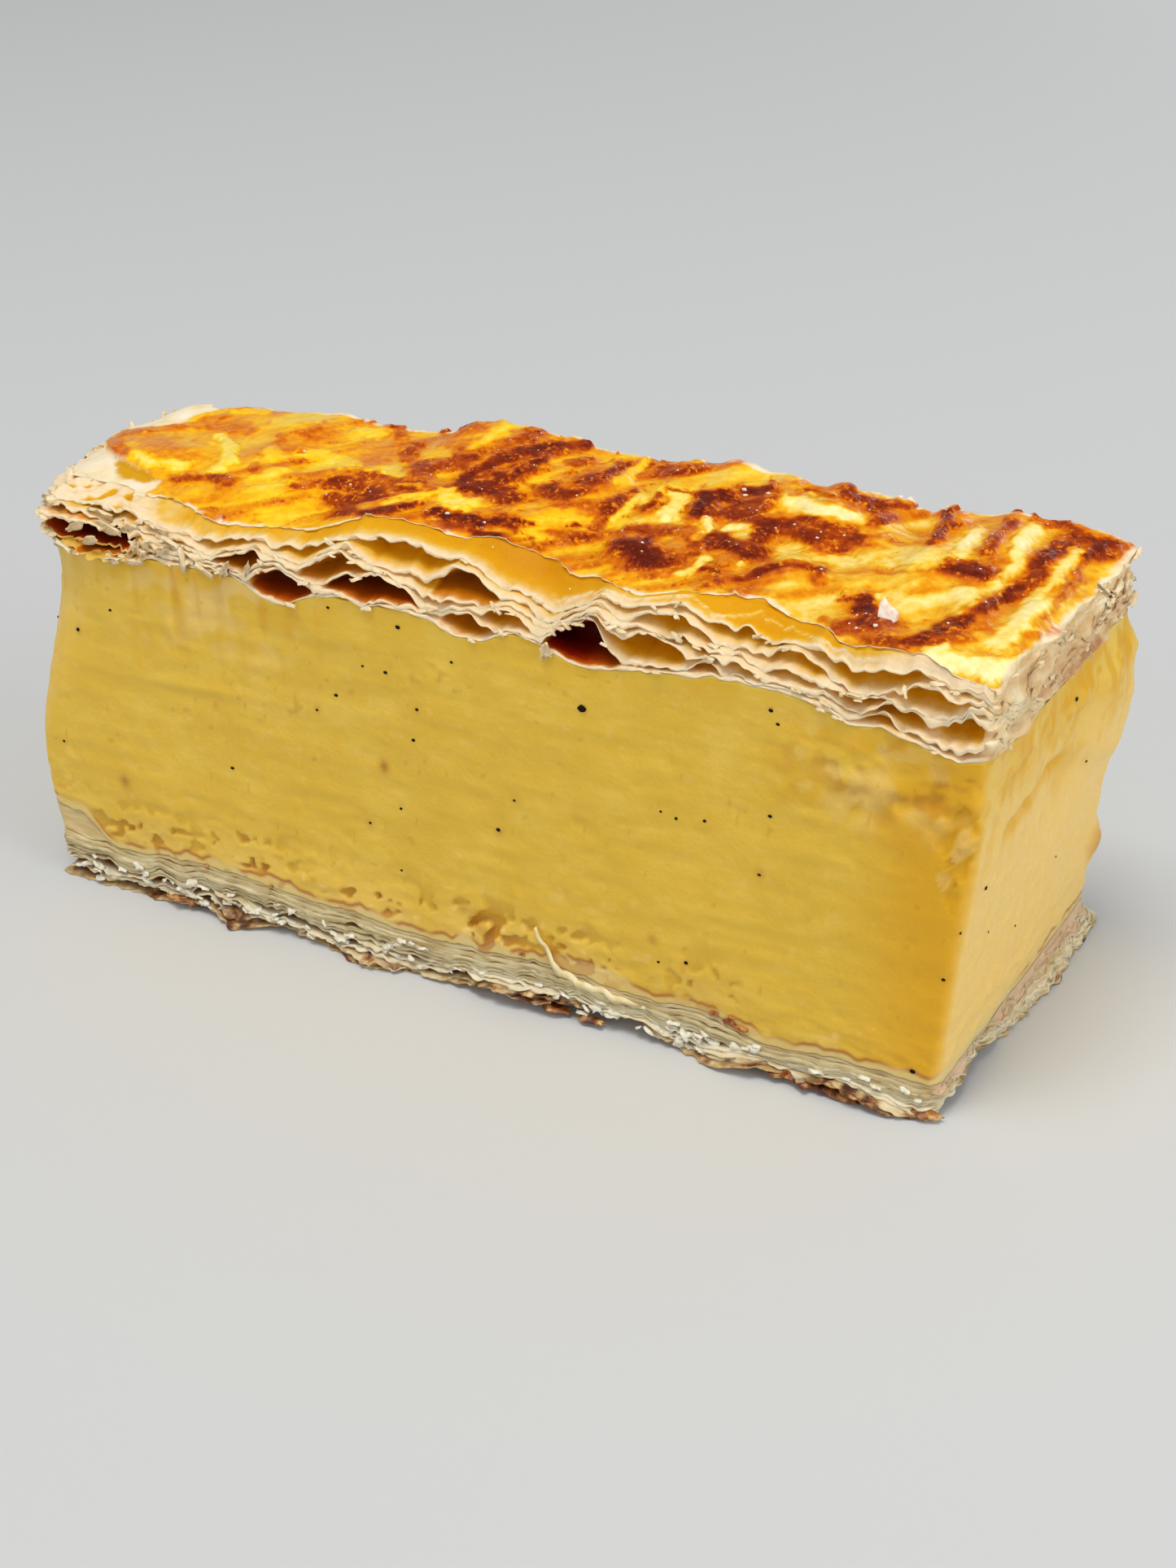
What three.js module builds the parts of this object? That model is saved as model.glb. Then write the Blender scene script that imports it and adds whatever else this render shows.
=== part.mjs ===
// Mille feuille slice, in millimetres, +Z up.
//
// A block of set vanilla custard lies between two sheets of puff pastry. The slice is cut on all
// four sides, so each pastry sheet shows the edges of its leaves, with hollows between them where
// the dough puffed up. The upper sheet has a browned, blistered crust that steps back from the
// front cut. The lower sheet is pressed flat by the custard and its frayed rim lifts off the base.
//
// X runs along the slice, Y away from the front cut, and the origin is the centre of the base.

import * as THREE from "three";

// Driving dimensions of the block.
const HALF_LENGTH = 60.9;
const HALF_DEPTH = 18.6;
const SEAM_GAP = 0.3; // clearance between the custard and each pastry sheet

// The four cut faces: position at the base, skew per millimetre along the face, and lean per
// millimetre of height. The right cut stands upright above uprightFrom.
const FRONT = { base: -19.9, skew: -0.016, lean: 0.05 };
const BACK = { base: 19.9, skew: 0.016, lean: -0.055 };
const LEFT = { base: -60, skew: -0.05, lean: 0.004 };
const RIGHT = { base: 57.7, skew: 0.065, lean: 0.094, uprightFrom: 45 };
const LEFT_BELLY = { from: 2, to: 13, reach: 1.3 };

// Radius of the vertical corners. The front left one is worn round above wornFrom, and the upper
// leaves fill it again from leavesFrom.
const CORNER = { sharp: 1.3, worn: 14, wornFrom: 16, wornTo: 40 };
const LEAF_CORNER = { radius: 9.5, from: 44, to: 50 };

// Heights along the slice, as [x, z] stations that a smooth curve passes through.
const LOWER_SEAM = [[-61, 10], [-57, 9.4], [-51, 5.8], [-38, 6.3], [-20, 5.6], [0, 4.9], [8, 6.2],
  [20, 4.8], [30, 5.3], [36, 3.6], [46, 4.2], [61, 3.7]];
const UPPER_SEAM = [[-61, 43.6], [-48, 44.7], [-28, 45.4], [-22, 43.6], [-15, 45.3], [-2, 45.1],
  [3, 43.6], [9, 45.2], [17, 43.5], [24, 44.3], [37, 45.1], [47, 43.5], [61, 41.7]];
const CREST = [[-62, 49.4], [-55, 50.4], [-44, 50.9], [-34, 51.2], [-22, 51.4], [-8, 53.6],
  [3, 52.4], [12, 51.1], [20, 52.3], [30, 51.7], [39, 51], [52, 51.9], [59, 50.7], [63, 48.8]];
const LOWER_WAVE = { skew: 0.05, size: 7, height: 0.35 };
const UPPER_WAVE = { skew: 0.1, size: 7, height: 0.35 };

// How far the crust's front edge lies behind the front cut, as [x, distance] stations. Most of
// the step lies in the last leaves, as the power of the height in the stack shows.
const CRUST_STEP = [[-61, 5.5], [-50, 8], [-41, 6], [-30, 3.6], [-18, 4.2], [-6, 6.2], [8, 7.6],
  [15, 5.4], [22, 3], [28, 4.6], [34, 6.6], [40, 4.8], [46, 1.4], [61, 0.7]];
const CRUST_STEP_LEFT = 0.6;
const CRUST_STEP_POWER = 3;

// The crust's relief: a low crown across the slice, small bubbles, and ridges on the right half.
const CROWN = { middle: 2, height: 1.1 };
const BUBBLE = { size: 7, height: 0.8 };
const RIDGE = { from: 2, to: 10, spacing: 6.4, tilt: 0.14, height: 0.6 };

// Large blisters and dips of the crust: x, y, half length, half depth, height.
const BLISTERS = [
  [-48, -1, 8, 4.5, 1.4], [-36, 10, 5, 4, 1], [-26, -2, 5, 3, 1.1], [-13, 14, 5, 5, 1.2],
  [-9, 2, 6, 3, -1], [6, 4, 4, 7, 1], [18, -8, 3.5, 2.5, 1.2], [30, 9, 5, 3, 1.1],
  [36, -4, 4, 3, 1], [45, 0, 5, 5, 1.2], [40, 13, 3, 3, -1.2], [50, -10, 4, 3, -1],
];

// Leaves of the two sheets. Between two leaves runs a recessed line, deeper where they gape.
const UPPER_LEAVES = 7;
const LOWER_LEAVES = 4;
const LEAF = 0.42;
const FRAY = { size: 5, reach: 0.55, levelStep: 2.3 };
const GAPE = { size: 9, swing: 1.36, least: 0.12, levelStep: 3.7 };
const RECESS = { least: 0.3, perOpening: 1.6, most: 5, floor: 0.2 };
const CORNER_RECESS = { zone: 3, share: 0.3 }; // shallower round a corner, by its radius

// Large hollows in the front of the upper sheet: x, gap counted from below, half width, opening.
const HOLLOWS = [
  [-22, 0, 2.8, 6], [3, 0, 2.6, 6], [16.5, 0, 4, 12], [34, 0, 2.4, 3], [51, 0, 2.6, 3.5],
  [-44, 1, 3.4, 5], [24, 1, 5.6, 9], [-26.5, 2, 2.8, 6], [-9, 2, 5.6, 11], [7, 2, 3, 4.5],
  [39, 2, 3, 6], [53.5, 2, 3.6, 4.5], [-46, 3, 7.5, 10], [3, 4, 3, 5], [48.5, 4, 5.6, 9],
  [-13.5, 5, 3.8, 6], [9.5, 5, 7, 11], [26, 5, 4, 5], [35.5, 5, 4.8, 13],
];

// Rim of the lower sheet: it lifts off the base in places, scraps of its lowest leaves stick out,
// and it reaches a little past the custard.
const LIFT = { size: 13, from: -0.1, to: 0.7, height: 2, width: 7 };
const FLAKE = { size: 7, from: 0.2, to: 0.8, reach: 1.6, below: 0.45 };
const FRONT_FLAKES = [[-32, 3], [-12, 4.5], [7, 6], [34, 4], [50, 7]]; // x, half width
const OVERHANG = { front: 0.5, right: 1.5, below: 0.7 };

// Custard relief: drag marks of the knife, and a bulge and a dent in the right cut.
const SMEAR = { size: 14, height: 0.35 };
const DENTS = [
  { x: 62, y: 17, z: 36, radius: 11, height: 1.5 },
  { x: 60, y: 3, z: 31, radius: 6, height: -0.9 },
];
const SMOOTH_RIM = 0.12; // share of the custard's height without relief at each seam

// Mesh resolution.
const COLUMNS = 40;
const ROWS = 13;
const CUSTARD_BANDS = 7;
const ROUGH_HEIGHTS = [0, 50]; // where the search for a surface's height starts, below and above

const SEED = { lowerSeam: 11, upperSeam: 12, crust: 21, lift: 31, flake: 41, custard: 51 };
const LOWER_SEED = { gape: 61, fray: 62 };
const UPPER_SEED = { gape: 71, fray: 72 };

function mix(a, b, t) {
  return a + (b - a) * t;
}

function smooth(from, to, value) {
  const t = THREE.MathUtils.clamp((value - from) / (to - from), 0, 1);
  return t * t * (3 - 2 * t);
}

function bell(distance, width) {
  return Math.exp(-((distance / width) ** 2));
}

// Smooth curve through [place, value] stations.
function along(stations, place) {
  let next = 1;
  while (next < stations.length - 1 && place > stations[next][0]) {
    next += 1;
  }
  const [from, low] = stations[next - 1];
  const [to, high] = stations[next];
  return mix(low, high, smooth(from, to, place));
}

// Repeatable random value from -1 to 1 for a lattice point.
function lattice(i, j, k, seed) {
  let hash = Math.imul(i, 374761393) ^ Math.imul(j, 668265263) ^ Math.imul(k, 1440662683);
  hash ^= Math.imul(seed, 1274126177);
  hash = Math.imul(hash ^ (hash >>> 13), 1274126177);
  hash = Math.imul(hash ^ (hash >>> 15), 668265263);
  hash ^= hash >>> 16;
  return (hash >>> 0) / 2 ** 31 - 1;
}

// Smooth noise between the lattice points.
function noise(x, y, z, seed) {
  const [i, j, k] = [Math.floor(x), Math.floor(y), Math.floor(z)];
  const [u, v, w] = [smooth(0, 1, x - i), smooth(0, 1, y - j), smooth(0, 1, z - k)];
  const row = (dj, dk) => {
    const [near, far] = [lattice(i, j + dj, k + dk, seed), lattice(i + 1, j + dj, k + dk, seed)];
    return mix(near, far, u);
  };
  return mix(mix(row(0, 0), row(1, 0), v), mix(row(0, 1), row(1, 1), v), w);
}

function cornerRadius(u, v, z) {
  if (u > 0 || v > 0) {
    return CORNER.sharp;
  }
  const worn = mix(CORNER.sharp, CORNER.worn, smooth(CORNER.wornFrom, CORNER.wornTo, z));
  return mix(worn, LEAF_CORNER.radius, smooth(LEAF_CORNER.from, LEAF_CORNER.to, z));
}

// A point of the footprint at height z, the direction that leads out of the block there, and how
// deep a recess may go. a and b run from -1 to 1, and terrace from 0 to 1 up the stepped leaves.
function footprint(a, b, z, terrace = 0) {
  let u = a * HALF_LENGTH;
  let v = b * HALF_DEPTH;
  const radius = cornerRadius(u, v, z);
  const du = Math.abs(u) - (HALF_LENGTH - radius);
  const dv = Math.abs(v) - (HALF_DEPTH - radius);
  const out = new THREE.Vector3();
  if (du > 0 && dv > 0) {
    const pull = Math.max(du, dv) / Math.hypot(du, dv);
    out.set(Math.sign(u) * du, Math.sign(v) * dv, 0).normalize();
    u = Math.sign(u) * (HALF_LENGTH - radius + du * pull);
    v = Math.sign(v) * (HALF_DEPTH - radius + dv * pull);
  } else if (Math.abs(a) === 1) {
    out.set(a, 0, 0);
  } else {
    out.set(0, Math.sign(b), 0);
  }

  const belly = LEFT_BELLY.reach * smooth(LEFT_BELLY.from, LEFT_BELLY.to, z);
  const left = LEFT.base + LEFT.skew * v + LEFT.lean * z - belly + CRUST_STEP_LEFT * terrace;
  const right = RIGHT.base + RIGHT.skew * v + RIGHT.lean * Math.min(z, RIGHT.uprightFrom);
  const x = mix(left, right, (u / HALF_LENGTH + 1) / 2);
  const front = FRONT.base + FRONT.skew * x + FRONT.lean * z + along(CRUST_STEP, x) * terrace;
  const back = BACK.base + BACK.skew * x + BACK.lean * z;
  const y = mix(front, back, (v / HALF_DEPTH + 1) / 2);

  const nearCorner = Math.min(du, dv) > -CORNER_RECESS.zone;
  const room = nearCorner ? radius * CORNER_RECESS.share : RECESS.most;
  return { x, y, out, room };
}

// Wavy surfaces where the custard meets the sheets.
function lowerSeam(x, y) {
  const ripple = noise(x / LOWER_WAVE.size, y / LOWER_WAVE.size, 0, SEED.lowerSeam);
  return along(LOWER_SEAM, x + LOWER_WAVE.skew * y) + LOWER_WAVE.height * ripple;
}

function upperSeam(x, y) {
  const ripple = noise(x / UPPER_WAVE.size, y / UPPER_WAVE.size, 0, SEED.upperSeam);
  return along(UPPER_SEAM, x + UPPER_WAVE.skew * (y + HALF_DEPTH)) + UPPER_WAVE.height * ripple;
}

// Top of the browned crust.
function crust(x, y) {
  const across = (y - CROWN.middle) / HALF_DEPTH;
  let height = along(CREST, x) - CROWN.height * across * across;
  height += BUBBLE.height * noise(x / BUBBLE.size, y / BUBBLE.size, 0, SEED.crust);
  for (const [middleX, middleY, halfLength, halfDepth, rise] of BLISTERS) {
    height += rise * bell(Math.hypot((x - middleX) / halfLength, (y - middleY) / halfDepth), 1);
  }
  const turn = (2 * Math.PI * (x + RIDGE.tilt * y)) / RIDGE.spacing;
  return height + RIDGE.height * Math.sin(turn) * smooth(RIDGE.from, RIDGE.to, x);
}

// Underside of the slice: flat, with a rim that lifts off in places.
function underside(x, y, inward) {
  const patch = noise(x / LIFT.size, y / LIFT.size, 0, SEED.lift);
  return LIFT.height * smooth(LIFT.from, LIFT.to, patch) * smooth(LIFT.width, 0, inward);
}

// How wide each gap between two leaves opens at a place of the cut, in shares of the sheet.
function openings(x, y, leaves, hollows, seed) {
  const widths = [];
  for (let gap = 0; gap < leaves - 1; gap += 1) {
    const wave = noise(x / GAPE.size, y / GAPE.size, gap * GAPE.levelStep, seed);
    let width = Math.max(GAPE.least, 1 + GAPE.swing * wave);
    for (const [middle, level, halfWidth, opening] of hollows) {
      width += level === gap ? opening * bell(x - middle, halfWidth) : 0;
    }
    widths.push(width);
  }
  return widths;
}

// Heights and outward reaches of a stack of leaves at a place of the cut, from the bottom up.
// Each leaf has a lower and an upper lip, and a recess lies between two leaves.
function leafStack({ x, y, room }, bottom, top, leaves, hollows, seed) {
  const widths = openings(x, y, leaves, hollows, seed.gape);
  const total = widths.reduce((sum, width) => sum + width, 0);
  const space = top - bottom - leaves * LEAF;
  const stack = [];
  let z = bottom;
  for (let leaf = 0; leaf < leaves; leaf += 1) {
    const ragged = noise(x / FRAY.size, y / FRAY.size, leaf * FRAY.levelStep, seed.fray);
    stack.push({ z, reach: FRAY.reach * ragged });
    z += LEAF;
    stack.push({ z, reach: FRAY.reach * ragged });
    if (leaf < leaves - 1) {
      const opening = (space * widths[leaf]) / total;
      const depth = THREE.MathUtils.clamp(RECESS.perOpening * opening, RECESS.least, RECESS.most);
      stack.push({ z: z + RECESS.floor * opening, reach: -Math.min(depth, room) });
      z += opening;
    }
  }
  return stack;
}

// How far the rim of the lower sheet sticks out past the cut, at a share of the sheet's height.
function rimReach({ x, y, out }, height) {
  let patch = smooth(FLAKE.from, FLAKE.to, noise(x / FLAKE.size, y / FLAKE.size, 0, SEED.flake));
  if (out.y < 0) {
    patch = Math.max(...FRONT_FLAKES.map(([middle, halfWidth]) => bell(x - middle, halfWidth)));
  }
  const overhang = OVERHANG.front * Math.max(0, -out.y) + OVERHANG.right * Math.max(0, out.x);
  const low = smooth(FLAKE.below, 0, height);
  return FLAKE.reach * patch * low + overhang * smooth(1, OVERHANG.below, height);
}

// Walls of the three bodies. Each gives the points of the cut at one place, from the bottom up.
function lowerWall([a, b], foot, head) {
  const stack = leafStack(head, foot.z, head.z, LOWER_LEAVES, [], LOWER_SEED);
  return stack.map(({ z, reach }, step) => {
    const height = step / (stack.length - 1);
    const { x, y, out } = footprint(a, b, z);
    const rim = rimReach({ x, y, out }, height);
    return new THREE.Vector3(x, y, z).addScaledVector(out, height < 1 ? reach + rim : 0);
  });
}

function upperWall([a, b], foot, head) {
  const hollows = b === -1 ? HOLLOWS : [];
  const stack = leafStack(head, foot.z, head.z, UPPER_LEAVES, hollows, UPPER_SEED);
  return stack.map(({ z, reach }, step) => {
    const height = step / (stack.length - 1);
    const { x, y, out } = footprint(a, b, z, height ** CRUST_STEP_POWER);
    return new THREE.Vector3(x, y, z).addScaledVector(out, height > 0 ? reach : 0);
  });
}

function custardWall([a, b], foot, head) {
  const wall = [];
  for (let band = 0; band <= CUSTARD_BANDS; band += 1) {
    const height = band / CUSTARD_BANDS;
    const z = mix(foot.z, head.z, height);
    const { x, y, out } = footprint(a, b, z);
    const [i, j, k] = [x / SMEAR.size, y / SMEAR.size, z / SMEAR.size];
    let reach = SMEAR.height * noise(i, j, k, SEED.custard);
    for (const dent of DENTS) {
      const distance = Math.hypot(x - dent.x, y - dent.y, z - dent.z);
      reach += dent.height * bell(distance, dent.radius);
    }
    reach *= smooth(0, SMOOTH_RIM, height) * smooth(1, 1 - SMOOTH_RIM, height);
    wall.push(new THREE.Vector3(x, y, z).addScaledVector(out, reach));
  }
  return wall;
}

// Columns and rows of the footprint's grid, met in order round its edge.
function edgeCells() {
  const cells = [];
  for (let i = 0; i < COLUMNS; i += 1) {
    cells.push([i, 0]);
  }
  for (let j = 0; j < ROWS; j += 1) {
    cells.push([COLUMNS, j]);
  }
  for (let i = COLUMNS; i > 0; i -= 1) {
    cells.push([i, ROWS]);
  }
  for (let j = ROWS; j > 0; j -= 1) {
    cells.push([0, j]);
  }
  return cells;
}

// Position of a grid point on a surface whose height is heightAt(x, y, inward).
function surfacePoint(i, j, level, heightAt, terrace) {
  const [a, b] = [(2 * i) / COLUMNS - 1, (2 * j) / ROWS - 1];
  const alongX = (Math.min(i, COLUMNS - i) * 2 * HALF_LENGTH) / COLUMNS;
  const alongY = (Math.min(j, ROWS - j) * 2 * HALF_DEPTH) / ROWS;
  const inward = Math.min(alongX, alongY);
  const rough = footprint(a, b, ROUGH_HEIGHTS[level], level * terrace);
  const place = footprint(a, b, heightAt(rough.x, rough.y, inward), level * terrace);
  return { ...place, z: heightAt(place.x, place.y, inward), cell: [a, b] };
}

// Closed body between two wavy surfaces over the footprint, with a wall of points round it.
function slab(name, material, { bottomAt, topAt, wallAt, terrace = 0 }) {
  const edge = edgeCells();
  const walls = edge.map(([i, j]) => {
    const foot = surfacePoint(i, j, 0, bottomAt, terrace);
    const head = surfacePoint(i, j, 1, topAt, terrace);
    return wallAt(foot.cell, foot, head);
  });
  const bands = walls[0].length - 1;

  const gridIndex = (level, i, j) => (level * (COLUMNS + 1) + i) * (ROWS + 1) + j;
  const positions = [];
  [bottomAt, topAt].forEach((heightAt, level) => {
    for (let i = 0; i <= COLUMNS; i += 1) {
      for (let j = 0; j <= ROWS; j += 1) {
        const { x, y, z } = surfacePoint(i, j, level, heightAt, terrace);
        positions.push(x, y, z);
      }
    }
  });
  edge.forEach(([i, j], place) => {
    walls[place][0].toArray(positions, 3 * gridIndex(0, i, j));
    walls[place][bands].toArray(positions, 3 * gridIndex(1, i, j));
  });
  const firstWallPoint = positions.length / 3;
  for (let band = 1; band < bands; band += 1) {
    walls.forEach((wall) => positions.push(...wall[band].toArray()));
  }

  const indices = [];
  const quad = (p, q, r, s) => indices.push(p, q, r, p, r, s);
  for (let i = 0; i < COLUMNS; i += 1) {
    for (let j = 0; j < ROWS; j += 1) {
      const corners = [[i, j], [i + 1, j], [i + 1, j + 1], [i, j + 1]];
      quad(...corners.map(([column, row]) => gridIndex(1, column, row)));
      const [p, q, r, s] = corners.map(([column, row]) => gridIndex(0, column, row));
      indices.push(p, r, q, p, s, r);
    }
  }
  const wallIndex = (band, place) => {
    const [i, j] = edge[place];
    if (band === 0 || band === bands) {
      return gridIndex(band / bands, i, j);
    }
    return firstWallPoint + (band - 1) * edge.length + place;
  };
  for (let band = 0; band < bands; band += 1) {
    for (let place = 0; place < edge.length; place += 1) {
      const next = (place + 1) % edge.length;
      const [low, lowNext] = [wallIndex(band, place), wallIndex(band, next)];
      quad(low, lowNext, wallIndex(band + 1, next), wallIndex(band + 1, place));
    }
  }

  const geometry = new THREE.BufferGeometry();
  geometry.setAttribute("position", new THREE.Float32BufferAttribute(positions, 3));
  geometry.setIndex(indices);
  geometry.computeVertexNormals();
  const mesh = new THREE.Mesh(geometry, material);
  mesh.name = name;
  return mesh;
}

const paleLeaves = new THREE.MeshStandardMaterial({ color: 0xe6d6b4, roughness: 0.72, metalness: 0 });
const vanilla = new THREE.MeshStandardMaterial({ color: 0xdcb552, roughness: 0.38, metalness: 0 });
const browned = new THREE.MeshStandardMaterial({ color: 0xe0a03a, roughness: 0.35, metalness: 0 });

const lowerSheet = slab("bottom_pastry", paleLeaves, {
  bottomAt: underside,
  topAt: (x, y) => lowerSeam(x, y) - SEAM_GAP / 2,
  wallAt: lowerWall,
});
const custard = slab("custard", vanilla, {
  bottomAt: (x, y) => lowerSeam(x, y) + SEAM_GAP / 2,
  topAt: (x, y) => upperSeam(x, y) - SEAM_GAP / 2,
  wallAt: custardWall,
});
const upperSheet = slab("top_pastry", browned, {
  bottomAt: (x, y) => upperSeam(x, y) + SEAM_GAP / 2,
  topAt: crust,
  wallAt: upperWall,
  terrace: 1,
});

const slice = new THREE.Group();
slice.name = "mille_feuille_slice";
slice.add(lowerSheet, custard, upperSheet);

// The origin is the middle of the base.
const bounds = new THREE.Box3().setFromObject(slice);
const middle = bounds.getCenter(new THREE.Vector3());
slice.position.set(-middle.x, -middle.y, -bounds.min.z);

export default slice;
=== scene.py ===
"""Mille feuille slice: set vanilla custard between two sheets of puff pastry, dressed for rendering.

Shapes are worked out in millimetres in the frame of the cut block, which has its own origin, and are
moved to the row frame and turned into metres when a mesh is made. X runs along the slice, Y away
from the front cut and Z up.
"""

import math

import bmesh
import bpy
import numpy as np
from mathutils import Matrix, Vector


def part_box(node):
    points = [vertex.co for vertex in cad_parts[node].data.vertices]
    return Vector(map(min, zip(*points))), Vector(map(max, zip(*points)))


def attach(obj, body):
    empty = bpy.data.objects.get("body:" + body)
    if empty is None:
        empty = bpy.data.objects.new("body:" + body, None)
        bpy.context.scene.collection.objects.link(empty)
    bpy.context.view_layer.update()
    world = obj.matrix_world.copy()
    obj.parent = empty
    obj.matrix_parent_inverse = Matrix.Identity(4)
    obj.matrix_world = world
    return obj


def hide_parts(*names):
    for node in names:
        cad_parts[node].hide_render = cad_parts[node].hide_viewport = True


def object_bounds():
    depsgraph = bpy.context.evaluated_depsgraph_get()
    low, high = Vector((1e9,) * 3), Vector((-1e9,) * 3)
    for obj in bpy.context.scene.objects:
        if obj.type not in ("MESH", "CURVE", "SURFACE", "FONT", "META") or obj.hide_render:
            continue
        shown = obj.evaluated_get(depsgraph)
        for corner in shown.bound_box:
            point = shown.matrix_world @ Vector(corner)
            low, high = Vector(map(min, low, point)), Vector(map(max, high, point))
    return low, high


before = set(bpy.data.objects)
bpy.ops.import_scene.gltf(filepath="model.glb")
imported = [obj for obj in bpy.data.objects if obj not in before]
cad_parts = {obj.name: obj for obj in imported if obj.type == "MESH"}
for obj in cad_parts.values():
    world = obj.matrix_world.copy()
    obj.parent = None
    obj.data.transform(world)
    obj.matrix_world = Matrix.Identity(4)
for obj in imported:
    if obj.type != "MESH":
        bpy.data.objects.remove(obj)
cad_low, cad_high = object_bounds()

MM = 0.001
CENTRE = np.array([-0.7994, 0.2194, 0.0])  # from the cut block's origin to the row frame's, in mm

# The block and its four cut faces: place at the base, skew along the face, lean up the face.
HALF_LENGTH = 60.9
HALF_DEPTH = 18.6
SEAM_GAP = 0.08
FRONT = {"base": -19.9, "skew": -0.016, "lean": 0.05}
BACK = {"base": 19.9, "skew": 0.016, "lean": -0.055}
LEFT = {"base": -60, "skew": -0.05, "lean": 0.004}
RIGHT = {"base": 57.7, "skew": 0.065, "lean": 0.094, "upright_from": 45}
LEFT_BELLY = {"from": 2, "to": 13, "reach": 1.3}
CORNER = {"sharp": 1.3, "worn": 14, "from": 16, "to": 40}
LEAF_CORNER = {"radius": 9.5, "from": 44, "to": 50}

# Heights along the slice, as [x, z] stations that a smooth curve passes through.
LOWER_SEAM = [
    [-61, 10], [-57, 9.4], [-51, 5.8], [-38, 6.3], [-20, 5.6], [0, 4.9], [8, 6.2], [20, 4.8], [30, 5.3],
    [36, 3.6], [46, 4.2], [61, 3.7],
]
UPPER_SEAM = [
    [-61, 43.6], [-48, 44.7], [-28, 45.4], [-22, 43.6], [-15, 45.3], [-2, 45.1], [3, 43.6], [9, 45.2],
    [17, 43.5], [24, 44.3], [37, 45.1], [47, 43.5], [61, 41.7],
]
CREST = [
    [-62, 49.4], [-55, 50.4], [-44, 50.9], [-34, 51.2], [-22, 51.4], [-8, 53.6], [3, 52.4], [12, 51.1],
    [20, 52.3], [30, 51.7], [39, 51], [52, 51.9], [59, 50.7], [63, 48.8],
]

# How the seams wander: skew along y, and layers of waves as height, length in mm and seed. All but
# the first layer are in the visual only.
LOWER_WANDER = {"skew": 0.05, "layers": [(0.35, 7, 11), (0.32, 2.3, 134), (0.16, 0.9, 135)]}
UPPER_WANDER = {"skew": 0.1, "layers": [(0.35, 7, 12), (0.4, 2.6, 137), (0.15, 0.9, 138)]}

# How far the crust's front edge lies behind the front cut, as [x, distance] stations.
CRUST_STEP = [
    [-61, 5.5], [-50, 8], [-41, 6], [-30, 3.6], [-18, 4.2], [-6, 6.2], [8, 7.6], [15, 5.4], [22, 3],
    [28, 4.6], [34, 6.6], [40, 4.8], [46, 1.4], [61, 0.7],
]
CRUST_STEP_LEFT = 0.6

# Form of the crust. A blister is x, y, half length, half depth, height.
CROWN = {"middle": 2, "height": 1.1}
BUBBLE = {"size": 7, "height": 0.8, "seed": 21}
RIDGE = {"from": 2, "to": 10, "spacing": 6.4, "tilt": 0.14, "height": 0.3, "fade": (-14, -4)}
BLISTERS = [
    [-48, -1, 8, 4.5, 1.4], [-36, 10, 5, 4, 1], [-26, -2, 5, 3, 1.1], [-13, 14, 5, 5, 1.2],
    [-9, 2, 6, 3, -1], [6, 4, 4, 7, 1], [18, -8, 3.5, 2.5, 1.2], [30, 9, 5, 3, 1.1], [36, -4, 4, 3, 1],
    [45, 0, 5, 5, 1.2], [40, 13, 3, 3, -1.2], [50, -10, 4, 3, -1],
]

# Rim of the lower sheet: where it lifts off the plate and where flakes stand out. A front lift is x,
# half width, height, and a front flake is x, half width.
LIFT = {"size": 13, "from": -0.1, "to": 0.7, "height": 2, "width": 7, "seed": 31}
FLAKE = {"size": 7, "from": 0.2, "to": 0.8, "reach": 1.6, "below": 0.45, "seed": 41}
FRONT_FLAKES = [[-32, 3], [-12, 4.5], [7, 6], [34, 4], [50, 7]]
FRONT_LIFTS = [[-37.5, 4, 1.2], [5, 5.5, 1.8], [22, 3.5, 2], [37, 4, 1.6], [46, 5, 1.8]]
FRONT_LIFT_DEPTH = 5
OVERHANG = {"front": 0.5, "right": 1.5, "below": 0.7}

# Where the camera stands, in the cut block's frame, and how it is turned.
CAMERA = {"place": (120.32, -196.54, 151.22), "yaw": 30.195, "pitch": 30.508, "roll": -3.804,
          "lens": 52.31, "sensor": 36.0}
SIGHT_LEVEL = 52.0  # the crust's marks are given where sight lines through them cross this height


# Small tools for arrays

def mix(a, b, t):
    return a + (b - a) * t


def smooth(low, high, value):
    t = np.clip((value - low) / (high - low), 0.0, 1.0)
    return t * t * (3 - 2 * t)


def bell(distance, width):
    return np.exp(-((distance / width) ** 2))


def fade(form, place):
    """From 0 to 1 between a form's places "from" and "to"."""
    return smooth(form["from"], form["to"], place)


def hump(form, place):
    """Bell about a form's "middle", as wide as its "half"."""
    return bell(place - form["middle"], form["half"])


def along(stations, place):
    """Smooth curve through [place, value] stations."""
    stations = np.array(stations, float)
    step = np.clip(np.searchsorted(stations[:, 0], place), 1, len(stations) - 1)
    start, end = stations[step - 1], stations[step]
    return mix(start[..., 1], end[..., 1], smooth(start[..., 0], end[..., 0], place))


def product(value, factor):
    """32-bit product of whole numbers."""
    return (value * np.uint64(factor)) & np.uint64(0xFFFFFFFF)


def whole(value):
    return np.asarray(value).astype(np.int64).astype(np.uint64) & np.uint64(0xFFFFFFFF)


def lattice(i, j, k, seed):
    """Repeatable random value from -1 to 1 for a lattice point."""
    value = product(whole(i), 374761393) ^ product(whole(j), 668265263) ^ product(whole(k), 1440662683)
    value ^= product(whole(seed), 1274126177)
    value = product(value ^ (value >> np.uint64(13)), 1274126177)
    value = product(value ^ (value >> np.uint64(15)), 668265263)
    value ^= value >> np.uint64(16)
    return value.astype(float) / 2**31 - 1


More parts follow.
